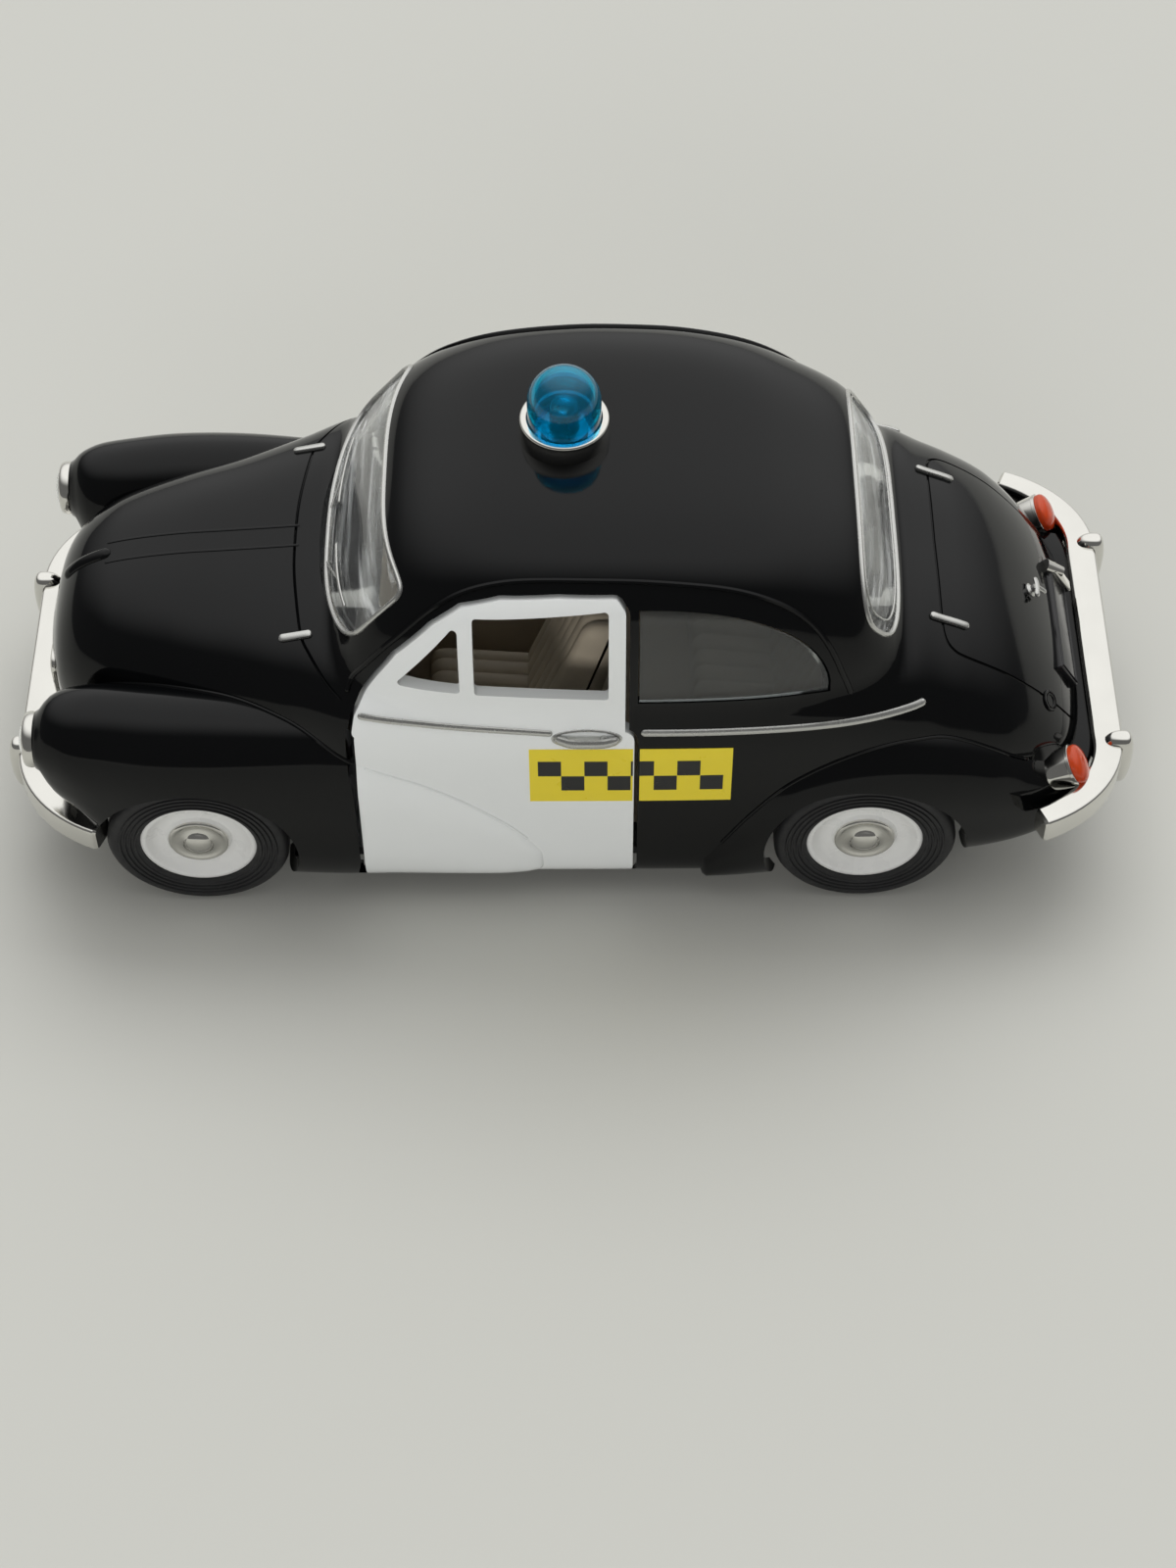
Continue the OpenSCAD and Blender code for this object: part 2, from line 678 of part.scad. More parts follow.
// Bracket on the base plate with two eyes round the pin
bracket_share = 0.92;
bracket_in = 2.2;
module hinge_bracket_left() {
    bw = knuckle_d * bracket_share;
    y1 = hinge_y - hollow_r - eye_gap;
    difference() {
        union() {
            translate([hinge_x - bw / 2, y1 - bracket_in, base_top_z])
                cube([bw, bracket_in, high_eye_top_z - base_top_z]);
            for (z = [low_eye_z, high_eye_z])
                translate([hinge_x, hinge_y, z]) {
                    cylinder(d = knuckle_d, h = eye_h, $fn = round_n);
                    translate([-bw / 2, y1 - hinge_y - bracket_in, 0])
                        cube([bw, hinge_y - y1 + bracket_in, eye_h]);
                }
        }
        translate([hinge_x, hinge_y, base_top_z])
            cylinder(d = pin_d + fit / 2, h = high_eye_top_z, $fn = round_n);
    }
}

// Small trim on the bonnet and the boot
hinge_bar_l = 3;
hinge_bar_w = 1.1;
hinge_bar_h = 1.6;
bonnet_hinge_back = 11.1;
bonnet_hinge_x = front_axle_x - bonnet_hinge_back;
bonnet_hinge_y = 12.8;
bonnet_hinge_z = 30.2;
boot_hinge_back = 7.5;
boot_hinge_x = rear_axle_x - boot_hinge_back;
boot_hinge_y = 10.05;
boot_hinge_z = 28.9;
boot_hinge_tilt = -27;
module hinge_bar(l, g) {
    hull() {
        for (x = [-l / 2, l / 2])
            translate([x, 0, 0])
                cylinder(d = hinge_bar_w + 2 * g, h = hinge_bar_h + (g > 0 ? over : 0), $fn = small_n);
    }
}
module bonnet_hinge_bars(g) {
    both_sides()
        translate([bonnet_hinge_x, bonnet_hinge_y, bonnet_hinge_z])
            hinge_bar(hinge_bar_l - hinge_bar_w, g);
}
module boot_hinge_bars(g) {
    both_sides()
        translate([boot_hinge_x, boot_hinge_y, boot_hinge_z])
            rotate([0, boot_hinge_tilt, 0])
                hinge_bar(hinge_bar_l, g);
}

// Boot handle and number plate, both square to the boot lid
handle_back = 17.05;
handle_x = rear_axle_x - handle_back;
handle_z = 24.3;
handle_tilt = -45;
handle_stem_d = 0.9;
handle_bar_l = 2.6;
handle_stand = 1.1;
plate_reach = 21.3;
plate_x = rear_axle_x - plate_reach;
plate_z = 18.6;
plate_tilt = -58;
plate_l = 15;
plate_w = 3.8;
plate_t = 1.6;
plate_back = 1;
module at_handle() {
    translate([handle_x, 0, handle_z])
        rotate([0, handle_tilt, 0])
            children();
}
module at_plate() {
    translate([plate_x, 0, plate_z])
        rotate([0, plate_tilt, 0])
            children();
}
module at_tail_lamp() {
    translate([rear_axle_x - tail_lamp_back, tail_lamp_y, tail_lamp_z])
        rotate([0, tail_tilt - 90, 0])
            children();
}
module at_head_lamp() {
    r = station(front_wing_shares, 1);
    translate([front_wing_x1, (r[1] - r[2]) * car_w / 2, (r[3] + r[4]) * wing_top_z / 2])
        rotate([0, 90, 0])
            children();
}

// Grille pocket in the nose
grille_w = 13;
grille_h = 6.4;
grille_z = 13.6;
grille_t = 1.5;
module bumper_tabs(x, z, l, g) {
    both_sides()
        translate([x, tab_y - tab_w / 2 - g, z - g])
            cube([l, tab_w + 2 * g, tab_h + 2 * g]);
}
tab_l = 5;
front_tab_z = front_bumper_z + (bumper_h - tab_h) * 0.7;
rear_tab_z = rear_bumper_z + (bumper_h - tab_h) / 2;
front_bar_x = front_end_x - overrider_out - bumper_t;
rear_bar_x = rear_end_x + overrider_out + bumper_t;

// Screw posts under the bonnet and the boot
front_post_reach = 8.9;
rear_post_reach = 14.5;
front_post_x = front_axle_x + front_post_reach;
rear_post_x = rear_axle_x - rear_post_reach;
front_post_top_z = 28.6;
rear_post_top_z = 26.2;
module screw_posts() {
    for (p = [[front_post_x, front_post_top_z], [rear_post_x, rear_post_top_z]])
        translate([p[0], 0, base_top_z])
            cylinder(d = post_d, h = p[1] - base_top_z, $fn = small_n * 2);
}

// Open wells in the sides of the casting for the axles, beside the wheels
module axle_wells() {
    well_y = wheel_face_y - tyre_w - arch_gap + axle_room;
    for (x = [front_axle_x, rear_axle_x])
        translate([x - arch_r, post_d, -over])
            cube([2 * arch_r, well_y - post_d, over + wheel_z + axle_d / 2 + axle_room]);
}

// The black casting
module body_shell() {
    color([0.05, 0.05, 0.06])
    difference() {
        union() {
            skin();
            screw_posts();
        }
        both_sides() {
            axle_wells();
            door_room();
            cabin_patch(quarter_grid(1), -over / 4, over / 2);
            at_tail_lamp() {
                translate([0, 0, -tail_l])
                    cylinder(d = tail_d + 2 * fit, h = tail_l + over, $fn = small_n * 2);
            }
            for (x = [front_axle_x, rear_axle_x])
                translate([x, wheel_face_y - tyre_w - arch_gap, wheel_z])
                    rotate([-90, 0, 0])
                        cylinder(r = arch_r, h = car_w, $fn = round_n);
        }
        cabin_patch(across_grid(screen_patch, 1), -over / 4, over / 2);
        cabin_patch(across_grid(rear_patch, 1), -over / 4, over / 2);
        translate([beacon_x, 0, beacon_z])
            cylinder(d = beacon_d + 2 * fit, h = over, $fn = round_n);
        bonnet_hinge_bars(fit);
        boot_hinge_bars(fit);
        at_handle()
            cylinder(d = handle_stem_d + 2 * fit, h = over, $fn = small_n);
        at_plate()
            translate([-plate_w / 2 - fit, -plate_l / 2 - fit, -plate_back])
                cube([plate_w + 2 * fit, plate_l + 2 * fit, over]);
        translate([hull_x1 - grille_t, -grille_w / 2 - fit, grille_z - fit])
            cube([over, grille_w + 2 * fit, grille_h + 2 * fit]);
        bumper_tabs(front_bar_x - tab_l, front_tab_z, tab_l + over, fit);
        bumper_tabs(rear_bar_x - over, rear_tab_z, tab_l + over, fit);
        for (x = [front_post_x, rear_post_x])
            translate([x, 0, base_z])
                cylinder(d = screw_d + 2 * fit, h = over + base_t, $fn = small_n * 2);
    }
}

module windscreen() {
    color([0.8, 0.88, 0.9, 0.4])
        cabin_pane(across_grid(screen_patch, pane_share));
}
module rear_window() {
    color([0.8, 0.88, 0.9, 0.4])
        cabin_pane(across_grid(rear_patch, pane_share));
}
module quarter_window_left() {
    color([0.3, 0.33, 0.35, 0.6])
        cabin_pane(quarter_grid(pane_share));
}

module left_door() {
    color([0.95, 0.95, 0.95])
        door_left();
}
module right_door() {
    color([0.95, 0.95, 0.95])
        mirror([0, 1, 0])
            door_left();
}

// Seat tub: floor, two front seats and a rear bench, each drawn as a side outline
tub_set_back = 18.6;
tub_tail = 3.2;
cushion_set_back = 5;
cushion_l = 11.2;
back_lean = 6.2;
bench_l = 9.4;
bench_lean = 4.6;
bench_tail = 1.4;
seat_r = 1.3;
tub_x1 = front_axle_x - tub_set_back;
tub_x0 = rear_axle_x + tub_tail;
cushion_front_x = tub_x1 - cushion_set_back;
cushion_back_x = cushion_front_x - cushion_l;
back_top_x = cushion_back_x - back_lean;
bench_top_x = tub_x0 + bench_tail;
bench_back_x = bench_top_x + bench_lean;
bench_front_x = bench_back_x + bench_l;
bench_z = 17.5;
bench_top_z = 30;
module pad(spots) {
    hull() {
        for (p = spots)
            translate(p)
                circle(r = seat_r, $fn = small_n);
    }
}
module seat_outline(xf, xb, xt, zc, zt) {
    foot_z = floor_z - tub_t / 2 + seat_r;
    pad([[xf - seat_r, foot_z], [xf - seat_r, zc - seat_r], [xb, zc - 2 * seat_r], [xb, foot_z]]);
    pad([[xb, zc - 2 * seat_r], [xb - seat_r, foot_z], [xt, zt - seat_r], [xt - seat_r, zt - seat_r]]);
}
// Room that the tub leaves for the rear tyres
tub_room = 0.6;
module interior_tub() {
    color([0.72, 0.64, 0.52])
        difference() {
            union() {
                translate([tub_x0, -tub_w / 2, base_top_z])
                    cube([tub_x1 - tub_x0, tub_w, tub_t]);
                for (y = [-seat_y, seat_y])
                    side_prism(y - seat_w / 2, y + seat_w / 2)
                        seat_outline(cushion_front_x, cushion_back_x, back_top_x, cushion_z, seat_top_z);
                side_prism(-tub_w / 2, tub_w / 2)
                    seat_outline(bench_front_x, bench_back_x, bench_top_x, bench_z, bench_top_z);
            }
            both_sides()
                translate([rear_axle_x, wheel_face_y - tyre_w - tub_room, wheel_z])
                    rotate([-90, 0, 0])
                        cylinder(d = tyre_d + 2 * tub_room, h = car_w, $fn = round_n);
        }
}

// Bulkhead with the padded dashboard roll at its head
dash_set_back = 1.4;
dash_x = tub_x1 - dash_set_back;
dash_t = 1.2;
dash_top_z = 28;
dash_r = 1.6;
steer_y = -seat_y;
steer_tilt = 120;
steer_reach = 5.4;
steer_x = dash_x - steer_reach;
steer_z = 24.5;
column_d = 1.2;
column_l = 3.4;
module at_steering() {
    translate([steer_x, steer_y, steer_z])
        rotate([0, steer_tilt, 0])
            children();
}
module dashboard() {
    color([0.70, 0.62, 0.50])
        difference() {
            union() {
                translate([dash_x, -tub_w / 2, floor_z])
                    cube([dash_t, tub_w, dash_top_z - floor_z]);
                translate([dash_x + dash_t - dash_r, tub_w / 2, dash_top_z - dash_r])
                    rotate([90, 0, 0])
                        cylinder(r = dash_r, h = tub_w, $fn = round_n);
            }
            at_steering()
                cylinder(d = column_d + 2 * fit, h = over * 2, $fn = round_n);
        }
}
module steering_wheel() {
    color([0.15, 0.14, 0.13])
        at_steering() {
            rotate_extrude($fn = round_n)
                translate([(steer_d - steer_t) / 2, 0])
                    circle(d = steer_t, $fn = small_n);
            cylinder(d = column_d, h = over + column_l, $fn = round_n);
            for (turn = [0 : 120 : 240])
                rotate([0, 0, turn])
                    translate([0, -steer_t / 4, -steer_t / 4])
                        cube([(steer_d - steer_t) / 2, steer_t / 2, steer_t / 2]);
        }
}

// Base plate with axle bearings
base_front_reach = 11.4;
base_rear_reach = 18;
base_clear = 4.2;
base_front_x = front_axle_x + base_front_reach;
base_rear_x = rear_axle_x - base_rear_reach;
wheel_room = arch_r + base_clear;
bearing_y = 11;
bearing_w = 2.6;
bearing_l = 4.6;
module baseplate() {
    color([0.12, 0.12, 0.13])
        difference() {
            union() {
                translate([base_rear_x, -base_waist_w / 2, base_z])
                    cube([base_front_x - base_rear_x - bearing_l * 2, base_waist_w, base_t]);
                translate([base_rear_x, -post_d * 1.5, base_z])
                    cube([base_front_x - base_rear_x, post_d * 3, base_t]);
                translate([rear_axle_x + wheel_room, -base_w / 2, base_z])
                    cube([wheelbase - 2 * wheel_room, base_w, base_t]);
                both_sides()
                    for (x = [front_axle_x, rear_axle_x])
                        translate([x - bearing_l / 2, bearing_y, base_z])
                            cube([bearing_l, bearing_w, wheel_z - base_z + bearing_l / 2]);
            }
            for (x = [front_axle_x, rear_axle_x])
                translate([x, -car_w / 2, wheel_z])
                    rotate([-90, 0, 0])
                        cylinder(d = axle_d + 2 * bearing_gap, h = car_w, $fn = round_n);
            for (x = [front_post_x, rear_post_x]) {
                translate([x, 0, base_z - over])
                    cylinder(d = screw_d + 2 * fit, h = over * 2, $fn = round_n);
                translate([x, 0, base_z - over])
                    cylinder(d = screw_head_d + 2 * fit, h = over + screw_head_h, $fn = round_n);
            }
        }
}

// Two equal screws, heads let into the plate
screw_grip = 5;
module base_screws() {
    color([0.6, 0.6, 0.62])
        for (x = [front_post_x, rear_post_x])
            translate([x, 0, base_z]) {
                cylinder(d = screw_head_d, h = screw_head_h, $fn = round_n);
                cylinder(d = screw_d, h = base_t + screw_grip, $fn = round_n);
            }
}

// Bumper bar in plan, with its face towards +X at x = 0
bumper_lip = 0.35;
module bar_plan(w, r) {
    hull() {
        for (y = [-1, 1])
            translate([-bumper_r, y * (w / 2 - bumper_r)])
                circle(r = r, $fn = round_n);
    }
}
module bar_slice(w, shrink) {
    difference() {
        bar_plan(w, bumper_r - shrink);
        translate([bumper_side_t - bumper_t, 0])
            bar_plan(w, bumper_r - bumper_side_t + shrink);
        translate([-bumper_r - car_l, -car_w])
            square([car_l + shrink, car_w * 2]);
    }
}
module bumper_bar(w) {
    linear_extrude(height = bumper_h)
        bar_slice(w, bumper_lip);
    translate([0, 0, bumper_lip])
        linear_extrude(height = bumper_h - 2 * bumper_lip)
            bar_slice(w, 0);
}
overrider_h = 7;
overrider_drop = 3;
module overriders(y) {
    both_sides()
        hull() {
            for (z = [overrider_r - overrider_drop, overrider_h - overrider_r - overrider_drop])
                translate([overrider_out - overrider_r, y, z])
                    sphere(r = overrider_r, $fn = 12);
            for (z = [overrider_r - overrider_drop, overrider_h - overrider_r - overrider_drop])
                translate([-bumper_t / 2, y, z])
                    sphere(r = overrider_r * 0.8, $fn = 12);
        }
}
module front_bumper() {
    color([0.85, 0.86, 0.88]) {
        translate([front_end_x - overrider_out, 0, front_bumper_z]) {
            bumper_bar(car_w);
            overriders(front_overrider_y);
        }
        bumper_tabs(front_bar_x - tab_l + fit, front_tab_z, tab_l + bumper_lip, 0);
    }
}
module rear_bumper() {
    color([0.85, 0.86, 0.88]) {
        translate([rear_end_x + overrider_out, 0, rear_bumper_z])
            mirror([1, 0, 0]) {
                bumper_bar(rear_bumper_w);
                overriders(rear_overrider_y);
            }
        bumper_tabs(rear_bar_x - bumper_lip, rear_tab_z, tab_l + bumper_lip - fit, 0);
    }
}

// Grille: back plate, frame and level bars
grille_bars = 5;
grille_edge = 0.6;
module grille() {
    color([0.8, 0.81, 0.83])
        translate([hull_x1 - grille_t, -grille_w / 2, grille_z]) {
            cube([grille_t * 0.4, grille_w, grille_h]);
            difference() {
                cube([grille_t, grille_w, grille_h]);
                translate([-over, grille_edge, grille_edge])
                    cube([over * 2, grille_w - 2 * grille_edge, grille_h - 2 * grille_edge]);
            }
            for (k = [1 : grille_bars - 1])
                translate([0, 0, k * grille_h / grille_bars - grille_edge / 2])
                    cube([grille_t * 0.85, grille_w, grille_edge]);
        }
}

module headlamp_rim_left() {
    color([0.85, 0.86, 0.88])
        at_head_lamp()
            difference() {
                union() {
                    cylinder(d = head_d, h = head_t * 0.6, $fn = round_n);
                    translate([0, 0, head_t * 0.6])
                        cylinder(d1 = head_d, d2 = head_lens_d + head_t * 0.4, h = head_t * 0.4, $fn = round_n);
                }
                translate([0, 0, -over])
                    cylinder(d = head_lens_d + 2 * fit, h = over * 2, $fn = round_n);
            }
}
// Domed lens: a ring of revolution under an elliptic arc
module dome_lens(d, foot, rise, steps) {
    rotate_extrude($fn = round_n)
        polygon(concat([[0, 0], [d / 2, 0]],
            [for (k = [0 : steps]) [d / 2 * cos(90 * k / steps), foot + rise * sin(90 * k / steps)]]));
}
module headlamp_lens_left() {
    color([0.9, 0.93, 0.95, 0.6])
        at_head_lamp()
            dome_lens(head_lens_d, head_t * 0.8, head_t * 0.6, 8);
}
module tail_housing_left() {
    color([0.85, 0.86, 0.88])
        at_tail_lamp()
            translate([0, 0, -tail_l])
                cylinder(d = tail_d, h = tail_l, $fn = round_n);
}
module tail_lens_left() {
    color([0.85, 0.2, 0.1, 0.8])
        at_tail_lamp()
            dome_lens(tail_d * 0.94, tail_lens_h * 0.3, tail_lens_h * 0.7, 8);
}

// Beacon: plated cup, blue dome, bulb
cup_floor = 1.1;
module beacon_base() {
    color([0.85, 0.86, 0.88])
        translate([beacon_x, 0, beacon_z])
            difference() {
                cylinder(d = beacon_d, h = beacon_base_h, $fn = round_n);
                translate([0, 0, cup_floor])
                    cylinder(d = dome_d + 2 * fit, h = over, $fn = round_n);
            }
}
module dome_profile(r, h, steps) {
    polygon(concat([[0, 0], [r, 0]],
        [for (k = [0 : steps]) [r * cos(90 * k / steps), h - r + r * sin(90 * k / steps)]]));
}
module beacon_dome() {
    color([0.05, 0.4, 0.75, 0.7])
        translate([beacon_x, 0, beacon_z + cup_floor])
            rotate_extrude($fn = round_n)
                difference() {
                    dome_profile(dome_d / 2, dome_h, 10);
                    translate([0, -fit])
                        dome_profile(dome_d / 2 - dome_t, dome_h - dome_t + fit, 10);
                }
}
bulb_d = 3;
bulb_h = 4;
module beacon_bulb() {
    color([0.7, 0.85, 0.95])
        translate([beacon_x, 0, beacon_z + cup_floor])
            rotate_extrude($fn = round_n)
                dome_profile(bulb_d / 2, bulb_h, 8);
}

module bonnet_hinges() {
    color([0.8, 0.81, 0.83])
        bonnet_hinge_bars(0);
}
module boot_hinges() {
    color([0.8, 0.81, 0.83])
        boot_hinge_bars(0);
}
module boot_handle() {
    color([0.7, 0.71, 0.73])
        at_handle() {
            cylinder(d = handle_stem_d, h = handle_stand, $fn = round_n);
            translate([-handle_stem_d / 2, -handle_bar_l / 2, handle_stand])
                cube([handle_stem_d, handle_bar_l, handle_stem_d * 0.7]);
        }
}
module rear_plate() {
    color([0.04, 0.04, 0.04])
        at_plate()
            translate([-plate_w / 2, -plate_l / 2, -plate_back])
                cube([plate_w, plate_l, plate_t]);
}

// Axle with a stub at each end for the rims
stub_share = 0.8;
hub_in = 0.6;
rim_back_y = wheel_face_y - tyre_w - hub_in;
module axle(x) {
    color([0.6, 0.6, 0.62])
        translate([x, 0, wheel_z])
            rotate([90, 0, 0]) {
                cylinder(d = axle_d, h = 2 * rim_back_y, center = true, $fn = round_n);
                cylinder(d = axle_d * stub_share, h = 2 * rim_back_y + tyre_w, center = true, $fn = round_n);
            }
}
// Wheel parts are drawn about the axle with the outer face up, then turned to the side
module at_wheel(x, side) {
    translate([x, 0, wheel_z])
        rotate([side > 0 ? -90 : 90, 0, 0])
            children();
}
rim_sink = 0.5;
rim_face_y = wheel_face_y - rim_sink;
rim_lip = 0.7;
module rim(x, side) {
    hub_top = rim_face_y - rim_dish;
    color([0.93, 0.93, 0.93])
        at_wheel(x, side)
            difference() {
                rotate_extrude($fn = round_n)
                    polygon([[0, rim_back_y], [rim_d / 4, rim_back_y], [rim_d / 2, rim_back_y + hub_in],
                        [rim_d / 2, rim_face_y], [rim_d / 2 - rim_lip, rim_face_y],
                        [rim_d / 2 - 1.6 * rim_lip, hub_top], [hubcap_d / 2 + rim_lip, hub_top + rim_dish * 0.4],
                        [0, hub_top + rim_dish * 0.4]]);
                translate([0, 0, rim_back_y - over])
                    cylinder(d = axle_d * stub_share + fit / 2, h = over + tyre_w / 2 + fit, $fn = round_n);
            }
}
shoulder = 0.9;
ridge = 0.18;
module tyre(x, side) {
    y0 = wheel_face_y - tyre_w;
    r = tyre_d / 2;
    steps = 5;
    face = [for (k = [0 : 3])
        let (q = r - shoulder - (r - shoulder - rim_d / 2) * (k + 0.5) / 4)
        each [[q + ridge, wheel_face_y - ridge], [q, wheel_face_y], [q - ridge, wheel_face_y - ridge]]];
    color([0.06, 0.06, 0.06])
        at_wheel(x, side)
            rotate_extrude($fn = round_n)
                polygon(concat([[rim_d / 2 + fit / 2, y0]],
                    [for (k = [0 : steps]) [r - shoulder + shoulder * sin(90 * k / steps),
                        y0 + shoulder - shoulder * cos(90 * k / steps)]],
                    [for (k = [0 : steps]) [r - shoulder + shoulder * cos(90 * k / steps),
                        wheel_face_y - ridge - shoulder + shoulder * sin(90 * k / steps)]],
                    face, [[rim_d / 2 + fit / 2, wheel_face_y - ridge]]));
}
// Hubcap: a disc with a bead round its edge and a domed boss
cap_bead = 0.3;
bead_share = 0.6;
disc_share = 0.3;
boss_share = 0.47;
module hubcap(x, side) {
    z0 = rim_face_y - rim_dish * 0.6;
    r = hubcap_d / 2;
    disc_h = hubcap_h * disc_share;
    steps = 6;
    color([0.85, 0.86, 0.88])
        at_wheel(x, side)
            translate([0, 0, z0])
                rotate_extrude($fn = round_n)
                    polygon(concat([[0, 0], [r, 0], [r, disc_h], [r - cap_bead, hubcap_h * bead_share],
                        [r - 2 * cap_bead, disc_h]],
                        [for (k = [0 : steps]) [r * boss_share * cos(90 * k / steps),
                            disc_h + (hubcap_h - disc_h) * sin(90 * k / steps)]]));
}

body_shell();
windscreen();
rear_window();
quarter_window_left();  // left_quarter_window
mirror([0, 1, 0]) quarter_window_left();  // right_quarter_window
left_door();
right_door();
hinge_tube_left();  // left_hinge_tube
mirror([0, 1, 0]) hinge_tube_left();  // right_hinge_tube
hinge_pin_left();  // left_hinge_pin
mirror([0, 1, 0]) hinge_pin_left();  // right_hinge_pin
hinge_bracket_left();  // left_hinge_bracket
mirror([0, 1, 0]) hinge_bracket_left();  // right_hinge_bracket
interior_tub();
dashboard();
steering_wheel();
baseplate();
base_screws();
front_bumper();
rear_bumper();
grille();
headlamp_rim_left();  // left_headlamp_rim
mirror([0, 1, 0]) headlamp_rim_left();  // right_headlamp_rim
headlamp_lens_left();  // left_headlamp_lens
mirror([0, 1, 0]) headlamp_lens_left();  // right_headlamp_lens
tail_housing_left();  // left_tail_housing
mirror([0, 1, 0]) tail_housing_left();  // right_tail_housing
tail_lens_left();  // left_tail_lens
mirror([0, 1, 0]) tail_lens_left();  // right_tail_lens
beacon_base();
beacon_dome();
beacon_bulb();
bonnet_hinges();
boot_hinges();
boot_handle();
rear_plate();
axle(front_axle_x);  // front_axle
axle(rear_axle_x);  // rear_axle
rim(front_axle_x, 1);  // front_left_rim
rim(front_axle_x, -1);  // front_right_rim
rim(rear_axle_x, 1);  // rear_left_rim
rim(rear_axle_x, -1);  // rear_right_rim
tyre(front_axle_x, 1);  // front_left_tyre
tyre(front_axle_x, -1);  // front_right_tyre
tyre(rear_axle_x, 1);  // rear_left_tyre
tyre(rear_axle_x, -1);  // rear_right_tyre
hubcap(front_axle_x, 1);  // front_left_hubcap
hubcap(front_axle_x, -1);  // front_right_hubcap
hubcap(rear_axle_x, 1);  // rear_left_hubcap
hubcap(rear_axle_x, -1);  // rear_right_hubcap
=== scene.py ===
"""Finishes and fine shapes of a toy police saloon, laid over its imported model."""
import math

import bmesh
import bpy
import numpy as np
from bpy.props import FloatProperty, FloatVectorProperty, IntProperty, PointerProperty
from mathutils import Matrix, Vector
from mathutils.bvhtree import BVHTree
from mathutils.interpolate import poly_3d_calc


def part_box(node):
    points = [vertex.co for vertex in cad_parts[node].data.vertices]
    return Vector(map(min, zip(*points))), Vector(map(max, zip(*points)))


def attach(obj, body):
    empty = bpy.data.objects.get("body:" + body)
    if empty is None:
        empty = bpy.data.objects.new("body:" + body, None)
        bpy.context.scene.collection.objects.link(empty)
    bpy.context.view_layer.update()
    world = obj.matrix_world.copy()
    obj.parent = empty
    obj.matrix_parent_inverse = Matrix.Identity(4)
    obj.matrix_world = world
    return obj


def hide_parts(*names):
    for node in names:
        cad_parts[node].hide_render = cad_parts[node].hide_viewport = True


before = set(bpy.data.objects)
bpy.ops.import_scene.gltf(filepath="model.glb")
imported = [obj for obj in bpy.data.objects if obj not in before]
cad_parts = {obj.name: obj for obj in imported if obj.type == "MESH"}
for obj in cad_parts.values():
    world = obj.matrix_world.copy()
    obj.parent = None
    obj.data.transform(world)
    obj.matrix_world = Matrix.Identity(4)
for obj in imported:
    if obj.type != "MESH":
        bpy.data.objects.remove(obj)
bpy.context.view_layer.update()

bl_info = {
    "name": "Toy police saloon",
    "version": (1, 0, 0),
    "blender": (4, 5, 0),
    "location": "View3D > Sidebar > Toy car",
    "description": "Paint, plating, glazing and seats of a toy police saloon",
    "category": "Object",
}

MM = 0.001
LEFT, RIGHT = 1, -1
SIDES = (("left", LEFT), ("right", RIGHT))


def node_box(node):
    """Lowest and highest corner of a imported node, in millimetres."""
    low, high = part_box(node)
    return Vector(low) / MM, Vector(high) / MM


def node_middle(node):
    low, high = node_box(node)
    return (low + high) / 2


# Main places, in millimetres, matching the imported model; the axles and tyres are read from it
FRONT_X = node_middle("front_axle").x
REAR_X = node_middle("rear_axle").x
WHEEL_Z = node_middle("front_axle").z
TYRE_R = (node_box("front_left_tyre")[1].z - node_box("front_left_tyre")[0].z) / 2
NOSE_X, TAIL_X = FRONT_X + 15.3, REAR_X - 23.7
CABIN_X0, CABIN_X1 = REAR_X - 6, FRONT_X - 12.1
CABIN_Z, ROOF_Z, ROOF_CROWN = 26.0, 46.7, 0.4
CABIN_HALF, HULL_HALF, CAR_HALF = 20.8, 22.0, 24.0
WAIST_Z, BONNET_Z, WING_Z = 18.0, 32.4, 26.8
WALL = 1.2
DOOR_X1, DOOR_L, DOOR_Z, DOOR_H = FRONT_X - 17, 27.5, 5.8, 37.3
DOOR_X0 = DOOR_X1 - DOOR_L
DOOR_GAP = 0.4
DOOR_FOOT = DOOR_Z - 2
DOOR_IN_Y = 17.2
BELT_Z = DOOR_Z + 0.57 * DOOR_H
HINGE_X, HINGE_Y = DOOR_X1 - 0.9, 21.6
ROLL_R = 1.503
HANDLE_Z = 26.25
PANEL_X, PANEL_Z, PANEL_SQUARE = -6.05, 20.8, 2.3
PANEL_LOW, PANEL_HIGH = 16.75, 24.85
PANE_SHARE, PANE_OUT, PANE_IN = 0.985, 0.15, 1.05
OPEN_OUT, OPEN_IN = -1.5, 3
ARCH_IN_Y, ARCH_ROOM = 16.9, 1.1
LEAST_FACES = 9000
FRONT_WING = (FRONT_X - 17 - 17.9, FRONT_X + 14.9)
REAR_WING = (REAR_X + 16.1 - 38, REAR_X + 16.1)

